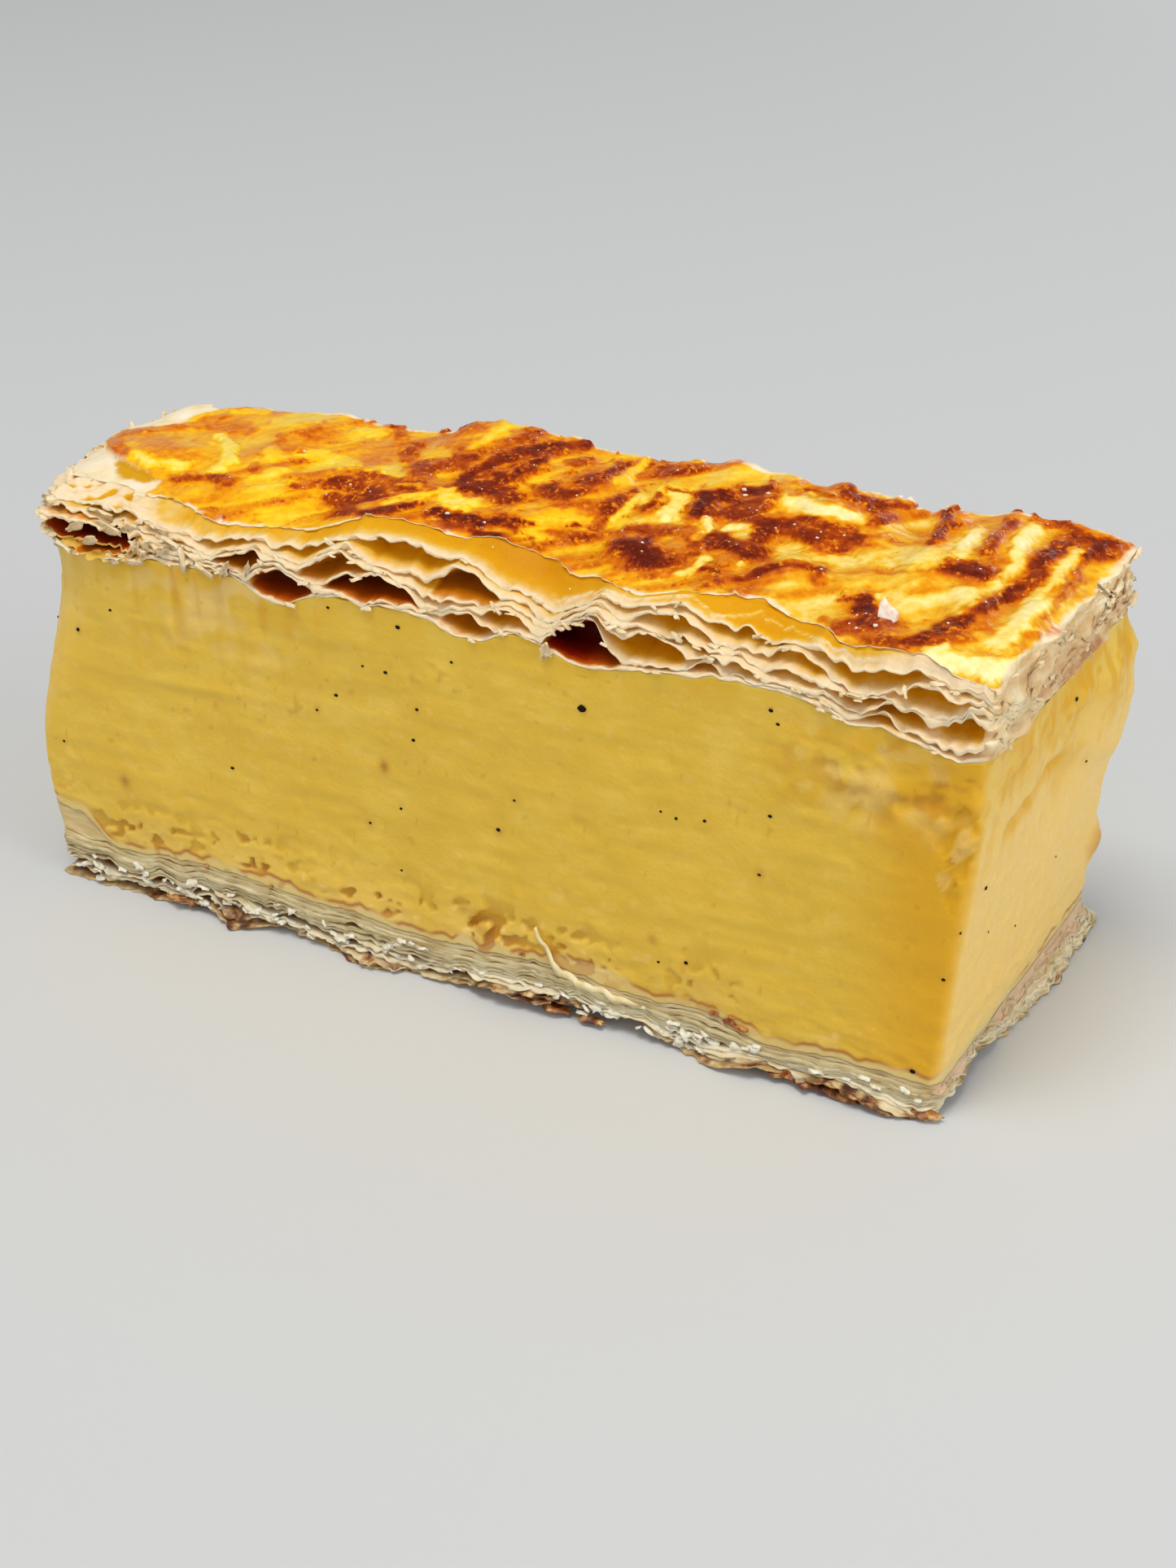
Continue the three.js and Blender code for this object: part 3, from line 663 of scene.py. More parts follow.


# Browning of the crust: strength, half width, and the line that the mark follows, as it crosses
# SIGHT_LEVEL. A negative strength is a paler place: unbrowned glaze on a raised ridge, partly a painted
# highlight.
MARKS = [
    # left half
    (0.45, 1.5, (-56, -0.5), (-50, 4.2)), (0.45, 1.2, (-55.5, -2), (-50.5, -5.3)),
    # The paler crescent on the left blister, from (-43.5, 3.6) to (-37.8, -5.2), is a painted highlight.
    (0.25, 3, (-52, 0), (-46, -2)), (-0.6, 1.2, (-43.5, 3.6), (-40.4, 1.1), (-37.6, -2.7), (-37.8, -5.2)),
    (-0.6, 1.1, (-49.5, -4.4), (-46.5, -6.1), (-43.9, -5.6), (-41.5, -6.2)),
    (0.35, 2.4, (-48, 6), (-42, 6.5)), (0.4, 0.9, (-49, 6), (-46.5, 9)),
    (-0.3, 1.2, (-45.5, 11), (-43, 12)), (0.6, 0.6, (-46.5, 12.6), (-41.5, 13.6)),
    (0.35, 2.6, (-34, 9), (-31, 8)), (0.4, 1, (-30, 13), (-27, 14.2), (-24, 13), (-22.5, 11)),
    (-0.35, 1.7, (-28, 10.5), (-25, 11)), (0.3, 0.8, (-36, 6), (-34.5, 3)),
    (0.8, 0.5, (-31, 3.2), (-31, 3)), (-0.35, 1.4, (-34.5, 2), (-33, 0)), (-0.4, 1.9, (-30, 2.5), (-24, 2)),
    (-0.4, 1.1, (-30, -2), (-31, -5)), (0.35, 0.8, (-34, -2), (-32.5, -4.8)),
    (0.35, 0.7, (-33, -0.3), (-30, 0)), (0.55, 1.3, (-40.2, -8.9), (-37, -7.2), (-34, -7.3)),
    (0.65, 1.1, (-26.5, -5.5), (-25, -6)), (0.25, 1.9, (-28, -3), (-23, -3.5)),
    (0.5, 1.3, (-19, 9), (-18, 6)), (0.8, 1.9, (-22.5, -2.5), (-17, -4.5)),
    (0.65, 1.5, (-20, -0.5), (-14, -1)), (0.65, 1.9, (-20, -7), (-17, -8.5)),
    (0.65, 1.7, (-17.5, -1), (-15.5, -7)), (0.55, 1.9, (-12, 8), (-14.5, 2)),
    (0.5, 1.5, (-15.5, 5), (-13.5, 0.5)), (-0.5, 0.9, (-15.5, -7.5), (-12.5, -3.5), (-8.5, 0)),
    (-0.6, 0.5, (-15, -1.2), (-13, -1)), (0.8, 1.4, (-14, -9), (-11, -6)), (-0.55, 1.8, (-8, -2), (-5, -4)),
    (0.85, 1.3, (-7.5, -6), (-1, -7)), (0.7, 1.4, (-1, 17), (-4, 14.5), (-7, 11.5), (-8.5, 8)),
    (0.75, 1.1, (-8.5, 7), (-9, 3), (-7, 0.5)), (0.8, 1.8, (-6, 2), (-1.5, -0.5)),
    (0.75, 1.4, (-3.5, 10), (-5, 3.5)), (0.3, 2.1, (-15.5, 16), (-15, 12)),
    (0.25, 1.8, (-9, 18), (-9.5, 12)), (0.6, 0.7, (-18.5, 14), (-17.5, 18)),
    (-0.3, 0.7, (-13, 19), (-12.5, 11)), (-0.25, 1.6, (-6, 18), (-3, 17)),
    (0.5, 0.5, (-13.5, 10.2), (-11.5, 10.5)),
    # middle
    (-0.25, 2.6, (1, -2), (8, -2.5)), (0.8, 0.5, (0, -5.3), (5, -5.2), (9, -4)), (0.6, 1.8, (1, 3), (4, 3)),
    (0.55, 1, (3.5, 7), (5.5, 10.5), (6, 13)), (0.45, 1.2, (0, 11), (2, 12.5)),
    (0.7, 1, (0, -5.8), (3, -6.5)), (0.9, 0.8, (0, -9.3), (1.8, -9.5)), (0.35, 1.1, (8, -6.5), (11, -6)),
    (0.55, 0.9, (11, 6.5), (9.7, 2), (11, -4)), (-0.55, 0.8, (11.8, 6), (11.5, -1)),
    (0.6, 0.5, (13.7, 7), (13.6, 2)), (-0.6, 1.2, (15.5, 7), (17, 1)), (0.5, 0.45, (13, 8.7), (17.5, 8)),
    (0.4, 1.6, (11, 13), (14.5, 14)), (-0.45, 0.9, (8, 8), (7.5, 15)), (0.6, 0.6, (7, 18.5), (9.5, 16.5)),
    (0.95, 1.4, (18.7, 8), (19, 4)), (0.8, 1.4, (19.5, 9), (21, 8.5)), (0.8, 1.5, (22, 11), (24, 12.5)),
    (0.6, 1.9, (25, 9), (23, 6)), (0.45, 1.9, (16, -2), (20, -1)), (1, 2.1, (16.5, -6), (19.5, -8)),
    (0.55, 1.7, (21, 5), (26, 5)), (-0.6, 0.9, (24, 1.6), (26, 2.1)),
    (-0.7, 0.7, (21, 3), (22.5, 0), (22, -2)), (0.85, 2.1, (23.5, -1.5), (29, -3)),
    (0.85, 1.7, (27.5, 4.5), (28.5, -0.5)), (0.75, 2.8, (30, 3), (37, 3)), (0.75, 1.5, (31, 6), (35, 5.5)),
    (-0.85, 2, (28.5, 10), (31, 9), (34, 8.5)), (0.5, 0.5, (27.5, 13), (31, 12.8)),
    (0.7, 1.2, (32, 14.5), (36, 12.5), (39.5, 13)), (0.65, 1.4, (37, 12), (38.5, 9)),
    (0.6, 0.5, (32, 16), (32.5, 14.5)), (0.3, 1.4, (38, 8), (39, 5)),
    # right half
    (-0.3, 3.3, (40, 2), (46, 2)), (-0.25, 1.4, (40, 8), (42.5, 6)), (-0.35, 1.4, (32, -2.5), (39, -1.5)),
    (-0.25, 2, (40, -6), (46, -4)), (0.75, 0.9, (31, -9.5), (32, -6.5), (34, -3.8)),
    (0.7, 1, (34, -3.8), (37.5, -5)), (0.5, 0.8, (37.5, -5), (38.8, -8)),
    (0.6, 0.8, (26.5, -8.5), (28, -8.8)), (0.5, 0.7, (22, -9.5), (24, -6)),
    (-0.55, 0.7, (25.8, -6), (25, -10)), (-0.45, 0.7, (28.8, -6.5), (29, -6)),
    (1, 1.6, (43.5, -9.5), (46, -13)), (-0.5, 0.6, (44.6, -8.3), (44.8, -8.4)),
    (0.45, 2, (44, -15), (50, -17)), (0.8, 0.9, (44.5, 15.5), (44.8, 11), (45.2, 5.5)),
    (0.65, 0.9, (50.8, 13), (51.5, 5)), (1, 1.7, (49.8, 1), (52.5, 0.5)),
    (0.85, 1.2, (57, 10), (57.2, 1), (55.5, -6), (53.5, -12), (51, -16)),
    (0.85, 1.1, (61.5, 11.5), (61, 8.5)), (0.5, 0.6, (61, 7), (61.3, -1), (60.8, -8)),
    (0.45, 0.6, (43.5, 15.8), (46, 16)), (0.65, 0.9, (50.5, 17), (53, 16.5), (57, 14.5)),
    (0.45, 0.9, (53.5, 14.5), (60, 13)), (0.8, 0.3, (57.8, 12.2), (58, 11.8)),
    (-0.5, 0.9, (48.5, 10), (48.8, 4)), (-0.5, 1, (53.5, 13), (54.5, 4), (54.5, -2)),
    (-0.45, 0.8, (59.5, 9), (59, -4)), (-0.3, 0.9, (60, 14.8), (60.2, 14)),
    (-0.35, 1.5, (52.5, -4), (54, -8)), (-0.3, 1.4, (57, -12), (60, -14)),
    (-0.65, 2.6, (54, -18.5), (61, -18)), (-0.5, 1.6, (59.2, -13), (59.8, -5)),
]
MARK_WARP = [(2.2, 0.5), (0.8, 0.2)]  # size and reach of the wander of the marks' outlines
MARK_EDGE = {"outer": 1.2, "inner": 0.45, "mottle": 0.3, "power": 1.05, "ragged": 0.5}
HALO = {"depth": 0.36, "width": 1.6, "slide": (0.7, -0.5)}  # the lighter brown beside a mark
BASE_BROWN = 0.3
CREASE_SHADE = {"width": 0.06, "depth": 0.2}  # painted shade: darker lines along the creases of the drawn glaze
FLOW = {"along": 9, "across": 3, "depth": 0.19, "from": (-50, -32)}  # glaze drawn out slantwise

# The bare leaf in front of the left blister, and the one behind it: where the crust is missing.
BARE = [
    [(-60, 2), (-56.5, -2.2), (-50, -6.5), (-42, -9.6), (-41, -12), (-44, -22), (-62, -22)],
    [(-60, 0), (-57, 1), (-50.5, 5), (-50, 9), (-46.5, 12.5), (-50, 20), (-62, 20)],
]
GILT = [(-52, -5.8), (-41, -9.2), (-43, -11.8), (-47.6, -10.9)]  # golden glaze left on the bare leaf


def on_sight_level(x, y, z):
    """Where the camera's sight line through a point crosses SIGHT_LEVEL."""
    eye_x, eye_y, eye_z = CAMERA["place"]
    stretch = (eye_z - SIGHT_LEVEL) / (eye_z - z)
    return eye_x + (x - eye_x) * stretch, eye_y + (y - eye_y) * stretch


def drawn_marks(x, y):
    """The marks as three layers: how dark, how near to a dark one, and how pale a place is."""
    warp_x, warp_y = x, y
    for count, (size, reach) in enumerate(MARK_WARP):
        warp_x = warp_x + reach * waves(x, y, 0, size, 81 + 2 * count)
        warp_y = warp_y + reach * waves(x, y, 0, size, 82 + 2 * count)
    ragged = 1 + MARK_EDGE["ragged"] * waves(x, y, 0, 1.3, 88, 3)
    slide_x, slide_y = HALO["slide"]
    dark, halo, pale = np.zeros_like(x), np.zeros_like(x), np.zeros_like(x)
    for strength, half_width, *line in MARKS:
        distance = line_reach(warp_x, warp_y, line)
        core = smooth(MARK_EDGE["outer"], MARK_EDGE["inner"], distance * ragged / half_width)
        if strength > 0:
            around = line_reach(warp_x - slide_x, warp_y - slide_y, line)
            around = bell(np.maximum(0, around - 0.6 * half_width), HALO["width"])
            halo = np.maximum(halo, strength * strength * around)
            dark = np.maximum(dark, strength ** MARK_EDGE["power"] * core)
        else:
            pale = np.maximum(pale, np.minimum(1, -1.5 * strength) * core)
    return dark, halo, pale


def browning(x, y):
    """How brown the crust is at a place of SIGHT_LEVEL, from about 0 for pale to 1 for dark, and how
    far it is a pale ridge."""
    dark, halo, pale = drawn_marks(x, y)
    run, across = (x + y) / FLOW["along"], (x - y) / FLOW["across"]
    flow = noise(run, across, 0, 86) + 0.5 * noise(2.1 * run, 2.1 * across, 0, 87)
    level = BASE_BROWN + FLOW["depth"] * flow * smooth(*FLOW["from"], x) + 0.06 * waves(x, y, 0, 6, 89)
    level += HALO["depth"] * halo * (1 - 0.8 * pale)
    # Darker lines along the glaze's creases: painted shade.
    crease = bell(noise(1.7 * run, 1.3 * across, 0, 146) + 0.3 * waves(x, y, 0, 2, 147), CREASE_SHADE["width"])
    level += CREASE_SHADE["depth"] * crease * smooth(-0.2, 0.3, waves(x, y, 0, 7, 148))
    mottle = 1 - MARK_EDGE["mottle"] * (0.5 + waves(x, y, 0, 1.4, 90))
    level = mix(level, 1.0, 0.95 * dark * mottle)
    return level * (1 - 0.9 * pale * (1 - 0.6 * dark)), pale


def bareness(x, y):
    ragged = 0.4 * waves(x, y, 0, 1.5, 91, 2)
    return np.maximum.reduce([smooth(-0.3, 0.3, inside_distance(x, y, part) + ragged) for part in BARE])


# Materials

def linear(value):
    """Linear light from an sRGB value of 0 to 255."""
    value /= 255
    return value / 12.92 if value <= 0.04045 else ((value + 0.055) / 1.055) ** 2.4


def rgb(*values):
    return (*map(linear, values), 1.0)


def add_node(tree, kind, output, inputs, **settings):
    """Output of a new node with the given inputs, by name or by number."""
    node = tree.nodes.new("ShaderNode" + kind)
    for key, value in settings.items():
        setattr(node, key, value)
    for key, value in inputs.items():
        plug(tree, value, node.inputs[key])
    return node.outputs[output]


def attribute(tree, name):
    return add_node(tree, "Attribute", "Fac", {}, attribute_type="GEOMETRY", attribute_name=name)


def plug(tree, value, socket):
    """Gives a socket a number, a colour, another node's output or the point attribute of a name."""
    if isinstance(value, str):
        value = attribute(tree, value)
    if isinstance(value, bpy.types.NodeSocket):
        tree.links.new(value, socket)
    else:
        socket.default_value = value


class Shader:
    """Short way to write a node material, with values as in plug()."""

    def __init__(self, name, roughness, specular=0.5):
        self.material = bpy.data.materials.new(name)
        self.material.use_nodes = True
        self.tree = self.material.node_tree
        self.surface = self.tree.nodes["Principled BSDF"]
        self.coordinates = self.node("TexCoord", "Object", {})
        self.set(Roughness=roughness, Specular_IOR_Level=specular)

    def node(self, kind, output, inputs, **settings):
        return add_node(self.tree, kind, output, inputs, **settings)

    def set(self, **values):
        """Sets inputs of the surface, such as Base_Color or Roughness."""
        for key, value in values.items():
            plug(self.tree, value, self.surface.inputs[key.replace("_", " ")])

    def noise(self, size_mm, detail, stretch=(1, 1, 1)):
        place = self.node("Mapping", "Vector", {"Vector": self.coordinates, "Scale": stretch})
        inputs = {"Vector": place, "Scale": 1 / (size_mm * MM), "Detail": detail, "Roughness": 0.55}
        return self.node("TexNoise", "Fac", inputs)

    def times(self, a, b):
        return self.node("Math", 0, {0: a, 1: b}, operation="MULTIPLY")

    def plus(self, a, b):
        return self.node("Math", 0, {0: a, 1: b}, operation="ADD")

    def spread(self, value, low, high, to_low=0.0, to_high=1.0):
        inputs = {"Value": value, "From Min": low, "From Max": high, "To Min": to_low, "To Max": to_high}
        return self.node("MapRange", "Result", inputs)

    def ramp(self, value, *stops):
        """Colours along a value, each stop as its position and red, green and blue of 0 to 255."""
        colour = self.node("ValToRGB", "Color", {"Fac": value})
        elements = colour.node.color_ramp.elements
        while len(elements) < len(stops):
            elements.new(1.0)
        for element, (position, *values) in zip(elements, stops):
            element.position = position
            element.color = rgb(*values)
        return colour

    def mix(self, factor, a, b):
        return self.node("Mix", 2, {0: factor, 6: a, 7: b}, data_type="RGBA")

    def tint(self, colour, **tints):
        """Colour with a tint over it for each point attribute, one after another."""
        for name, value in tints.items():
            colour = self.mix(name, colour, value)
        return colour

    def bump(self, height, distance_mm):
        inputs = {"Distance": distance_mm * MM, "Strength": 1.0, "Height": height}
        self.set(Normal=self.node("Bump", "Normal", inputs))

    def glow_through(self, weight, radius, scale_mm):
        """Light that spreads under the surface."""
        self.set(Subsurface_Weight=weight, Subsurface_Radius=radius, Subsurface_Scale=scale_mm * MM)


# Materials of the small loose things: colours spread by a noise, a bump from another noise, given with
# its height in mm, and how light glows through. A noise is its size in mm and its detail.
GRAINED = {
    "vanilla_seed": {"roughness": 0.6, "specular": 0.1, "noise": (0.2, 2), "bump": ((0.1, 2), 0.02),
                     "colours": [(0.4, 14, 9, 4), (0.7, 40, 24, 8)]},
    "leaf_flake": {"roughness": 0.55, "noise": (0.8, 3), "bump": ((0.3, 2), 0.03),
                   "colours": [(0.3, 230, 198, 140), (0.6, 241, 221, 182)],
                   "glow": (0.1, (1.0, 0.8, 0.6), 0.3)},
    "browned_flake": {"roughness": 0.4, "noise": (1.1, 4), "bump": ((1.1, 4), 0.08),
                      "colours": [(0.34, 70, 28, 8), (0.46, 124, 62, 18), (0.58, 178, 120, 54),
                                  (0.7, 214, 180, 120)]},
    "pale_crumb": {"roughness": 0.6, "noise": (0.8, 3), "bump": ((0.3, 2), 0.03),
                   "colours": [(0.3, 216, 202, 168), (0.6, 238, 232, 214)],
                   "glow": (0.25, (1.0, 0.7, 0.4), 0.5)},
    "pastry_shred": {"roughness": 0.5, "noise": (0.9, 3), "bump": ((0.4, 2), 0.04),
                     "colours": [(0.3, 226, 202, 140), (0.6, 244, 230, 184)],
                     "glow": (0.3, (1.0, 0.65, 0.3), 0.6)},
    # white grains: partly sugar, partly painted glints on the crust
    "sugar": {"roughness": 0.25, "noise": (0.6, 2), "bump": ((0.25, 2), 0.03),
              "colours": [(0.35, 240, 214, 184), (0.65, 255, 250, 242)],
              "glow": (0.4, (1.0, 0.8, 0.6), 0.6)},
    "baked_bit": {"roughness": 0.4, "noise": (0.7, 3), "bump": ((0.3, 2), 0.05),
                  "colours": [(0.38, 128, 60, 12), (0.6, 200, 134, 56)]},
}


def grained(name):
    look = GRAINED[name]
    shader = Shader(name, look["roughness"], look.get("specular", 0.5))
    shader.set(Base_Color=shader.ramp(shader.noise(*look["noise"]), *look["colours"]))
    grain, height = look["bump"]
    shader.bump(shader.noise(*grain), height)
    if "glow" in look:
        shader.glow_through(*look["glow"])
    return shader.material


BROWN_END = [(0.68, 176, 70, 3), (0.84, 134, 42, 2), (1.0, 96, 24, 2)]
GOLD_COLOURS = [(0.0, 255, 230, 116), (0.12, 252, 212, 44), (0.26, 248, 190, 16), (0.4, 236, 154, 6),
                (0.54, 216, 112, 4), *BROWN_END]
CREAM_COLOURS = [(0.0, 255, 241, 184), (0.12, 251, 226, 134), (0.26, 241, 194, 54), (0.4, 230, 152, 16),
                 (0.54, 216, 114, 6), *BROWN_END]
BARE_COLOURS = [(0.3, 236, 208, 150), (0.45, 242, 224, 184), (0.7, 246, 236, 212)]
# Pale at a leaf's cut rim, golden further in where the leaf is baked; the darker end deep in the gaps and
# under each leaf is painted shade.
LEAF_COLOURS = [(0.0, 243, 220, 182), (0.09, 237, 206, 152), (0.16, 230, 186, 84), (0.26, 226, 164, 20),
                (0.5, 217, 148, 8), (1.0, 190, 104, 6)]
# Inside the hollows, darker further in: partly toasted leaf, partly painted shade.
TOASTED_AND_SHADED_COLOURS = [(0.0, 238, 220, 190), (0.08, 222, 160, 84), (0.16, 188, 80, 12), (0.35, 150, 32, 2),
                   (0.7, 112, 14, 1), (1.0, 82, 7, 1)]
MASH_COLOURS = [(0.28, 202, 154, 102), (0.42, 224, 188, 136), (0.56, 238, 212, 164), (0.7, 244, 227, 188)]
DEPTH_SPAN = 5.0  # widths of the pale rim at which the leaf colours end


def crust_material():
    shader = Shader("glazed_crust", 0.3, 0.08)
    brown, bare = attribute(shader.tree, "brown"), attribute(shader.tree, "bare")
    browned = shader.spread(brown, 0.45, 0.75)
    patches = shader.times(shader.spread(shader.noise(2.4, 2), 0.4, 0.6), browned)
    flecks = shader.times(shader.spread(shader.noise(0.6, 2), 0.5, 0.7, 0.02, -0.4), patches)
    dapple = shader.spread(shader.noise(0.9, 4), 0.3, 0.7, -0.08, 0.08)
    value = shader.plus(shader.plus(brown, flecks), dapple)
    gold, cream = shader.ramp(value, *GOLD_COLOURS), shader.ramp(value, *CREAM_COLOURS)
    crust = shader.mix("cream", gold, cream)
    leaf = shader.tint(shader.ramp(shader.noise(3.0, 4), *BARE_COLOURS), gilt=rgb(212, 156, 20))
    shader.set(Base_Color=shader.mix(bare, crust, leaf), Roughness=shader.spread(bare, 0, 1, 0.22, 0.6))
    roughness = shader.spread(brown, 0.4, 0.8, 0.05, 1.0)
    shader.bump(shader.times(shader.noise(0.4, 2), roughness), 0.3)
    shader.glow_through(0.08, (1.0, 0.4, 0.1), 0.6)
    return shader.material


def leaf_material():
    shader = Shader("cut_leaves", 0.55, 0.06)
    speckle = shader.spread(shader.noise(0.8, 4), 0.3, 0.7, -0.03, 0.03)
    share = shader.plus(shader.spread("inset", 0, DEPTH_SPAN), speckle)
    mash = shader.ramp(shader.noise(1.8, 5, (1, 0.4, 1)), *MASH_COLOURS)
    # Painted shade: the pressed right cut darker and browner low down and towards the back
    low_back_shade = shader.times("low_back_shade", shader.spread(shader.noise(3, 3), 0.35, 0.6))
    mash = shader.mix(low_back_shade, mash, rgb(198, 146, 104))
    pale, baked = shader.ramp(share, *LEAF_COLOURS), shader.ramp(share, *TOASTED_AND_SHADED_COLOURS)
    shader.set(Base_Color=shader.tint(pale, toast=baked, pressed=mash))
    shader.set(Roughness=shader.spread(share, 0, 0.4, 0.62, 0.38))
    shader.bump(shader.noise(0.35, 3), 0.06)
    shader.glow_through(0.3, (0.8, 0.6, 0.4), 0.7)
    return shader.material


def custard_material():
    shader = Shader("vanilla_custard", 0.42, 0.35)
    cloud, grain, streaks = shader.noise(9, 4), shader.noise(0.5, 3), shader.noise(1.6, 5, (0.4, 0.4, 1))
    tone = shader.plus(shader.times(cloud, 0.5), shader.times(streaks, 0.5))
    smeared_colour = shader.ramp(tone, (0.34, 224, 182, 52), (0.5, 229, 188, 60), (0.66, 236, 198, 76))
    # Paler colour: real flecks and lumps, and painted light that makes the right cut lighter
    fresh = shader.ramp(grain, (0.3, 242, 200, 104), (0.7, 247, 208, 118))
    shader.set(Base_Color=shader.tint(smeared_colour, fresh=fresh, rich=rgb(225, 168, 2),
                                      beige=rgb(230, 202, 130), ochre=rgb(178, 104, 12)),
               Roughness=shader.spread(shader.noise(3, 3), 0.3, 0.7, 0.34, 0.5))
    shader.bump(grain, 0.07)
    shader.glow_through(0.4, (1.0, 0.62, 0.2), 1.6)
    return shader.material


def lower_leaf_material():
    shader = Shader("pressed_leaves", 0.5)
    speckle = shader.spread(shader.noise(0.9, 5), 0.3, 0.7, -0.08, 0.08)
    value = shader.plus("level", speckle)
    ragged = shader.ramp(value, (0.0, 178, 142, 88), (0.1, 212, 190, 144), (0.3, 232, 219, 186),
                         (0.5, 216, 200, 160), (0.8, 192, 170, 120), (1.0, 198, 164, 104))
    streaks = shader.noise(0.6, 4, (0.16, 0.16, 1))
    pressed = shader.ramp(streaks, (0.34, 164, 142, 92), (0.48, 190, 172, 124), (0.64, 216, 202, 160))
    colour = shader.mix(shader.times(shader.spread(value, 0.42, 0.6), 0.8), ragged, pressed)
    # Darker brown further into the gaps between the pressed leaves: painted shade.
    colour = shader.mix(shader.spread("inset", 0.3, 1.8), colour, rgb(120, 70, 24))
    browned = shader.ramp(shader.noise(1.3, 5), (0.36, 60, 26, 8), (0.46, 108, 60, 22),
                          (0.56, 168, 124, 70), (0.68, 216, 194, 148))
    colour = shader.mix(shader.times("fold", 0.75), shader.mix("baked", colour, browned), rgb(212, 182, 116))
    shader.set(Base_Color=shader.tint(colour, ochre=rgb(176, 112, 30), blush=rgb(222, 184, 150)))
    shader.bump(streaks, 0.07)
    shader.glow_through(0.3, (1.0, 0.6, 0.3), 0.8)
    return shader.material


# Pieces that stand in for the solids

CRUST_RELIEF = {"mark": 0.58, "pale": 0.6, "ripple": 0.14, "bubbles": 0.16, "bubble_size": 0.8,
                "bare_drop": 0.6}
CREAM = {"from": 5, "to": 35, "share": 0.85}  # along the slice, from the golden end to the creamier one
TANNED = {"middle": 8, "half": 20, "depth": 0.12}  # where the crust's browned places are browner
PALE_END = {"from": -49, "to": -57, "depth": 0.1}


def crust_marks(x, y, z):
    """How brown, how far a pale ridge and how bare the crust is at a point of it."""
    seen = on_sight_level(x, y, z)
    brown, pale = browning(*seen)
    tanned = TANNED["depth"] * hump(TANNED, x) * smooth(0.2, 0.45, brown)
    brown = brown + tanned - PALE_END["depth"] * fade(PALE_END, x)
    return brown, pale, bareness(*seen)


def crust_surface(x, y):
    """Top of the crust with its fine relief: browned places stand up and are bubbled."""
    form = crust_form(x, y)
    brown, pale, bare = crust_marks(x, y, form)
    raised = smooth(0.4, 0.75, brown)
    u, v = x / CRUST_RELIEF["bubble_size"], y / CRUST_RELIEF["bubble_size"]
    bubbles = (noise(u, v, 0, 95) + 0.5 * noise(2.2 * u, 2.2 * v, 0, 96)) * (0.12 + 0.88 * raised)
    relief = CRUST_RELIEF["mark"] * raised + CRUST_RELIEF["pale"] * pale
    relief = relief + CRUST_RELIEF["ripple"] * waves(x, y, 0, 2.6, 94) + CRUST_RELIEF["bubbles"] * bubbles
    return form + (1 - bare) * relief - CRUST_RELIEF["bare_drop"] * bare


def make_top_pastry():
    block = Block(columns=480, rows=144, top_step=1, bottom_step=12)
    top = block.surface(lambda x, y, inward: crust_surface(x, y), rough_height=50, terrace=1)
    bottom = block.surface(lambda x, y, inward: upper_seam(x, y) + SEAM_GAP / 2, rough_height=44)
    head = block.edge(top[2])
    spot = edge_spot(block, top, head)
    height, reach, terrace, inset, toast = leaf_stack(spot, block.edge(bottom[2]), head, UPPER_SHEET, HOLLOWS)
    share = np.linspace(0, 1, height.shape[1])[None, :]
    right = spot["right"][:, None]
    smear = 0.55 * waves(spot["y"][:, None] / 4, height / 1.3, 0, 1, 98, 3) * right
    wall = wall_points(block.edge_place(height, terrace), (reach + smear) * smooth(0, 0.02, share), height)

    x, y, z = top
    brown, _, bare = crust_marks(x, y, z)
    rim = smooth(0.7, 0.2, block.inward + 0.3 * waves(x, y, 0, 1, 97, 2))
    rim *= np.where(block.b < -0.9, smooth(0.0, 0.4, waves(x, 0, 0, 3, 93)), 1)
    seen_x, seen_y = on_sight_level(x, y, z)
    gilt = inside_distance(seen_x, seen_y, GILT) + 0.3 * waves(seen_x, seen_y, 0, 1, 77, 2)
    cream = CREAM["share"] * fade(CREAM, x + 6 * waves(x, y, 0, 9, 99))
    tints = {
        "brown": (0, brown, block.edge(brown)[:, None]),
        "cream": (0, cream, block.edge(cream)[:, None]),
        "bare": (0, np.maximum(bare, rim * smooth(0.62, 0.45, brown)), 1),
        "gilt": (0, smooth(-0.2, 0.7, gilt), 0),
        "inset": (DEPTH_SPAN, 0, inset),
        "toast": (0, 0, toast),
        "pressed": (0, 0, right),
        # painted shade on the right cut, low down and towards the back
        "low_back_shade": (0, 0, right * smooth(0.8, 0.1, share) * smooth(-14, 6, spot["y"])[:, None]),
    }
    stand_in("top_pastry_leaves", "top_pastry", block, (bottom, top), wall, tints,
             [leaf_material(), crust_material()])
    return wall, spot, top


# Where the knife broke the custard: lumps and pits by the lower seam, as [x, half width, depth], and
# a smeared patch at the upper right.
BROKEN = [[-46, 9, 0.9], [-30, 6, 1.2], [-12, 8, 1.1], [2, 7, 1.2], [15, 5, 0.8], [31, 5, 0.7]]
BROKEN_HEIGHT = 3.8
SMEARED = {"x": 50, "z": 38, "half": 10, "tall": 5}

# Relief of the custard as in the solid: the drag of the knife, and a bulge and a dent in the right cut,
# as x, y, z, radius, height.
SMEAR = {"size": 14, "height": 0.35, "seed": 51}
DENTS = [[62, 17, 36, 11, 1.5], [60, 3, 31, 6, -0.9]]
SMOOTH_RIM = 0.12

# What the knife drew on the front cut: drips and a ridge at the upper left, and a smeary place there.
DRIPS = {"height": 0.3, "rise": (34, 38), "middle": -33, "half": 13}
KNIFE_RIDGE = {"height": 0.22, "z": 31.5, "slope": 0.03, "thick": 0.5, "middle": -35, "half": 14}
SMEARY = {"middle": -32, "half": 14, "depth": 9}
RICH_EDGE = {"from": 44, "to": 56, "strength": 0.9}  # the richer right end of the front cut

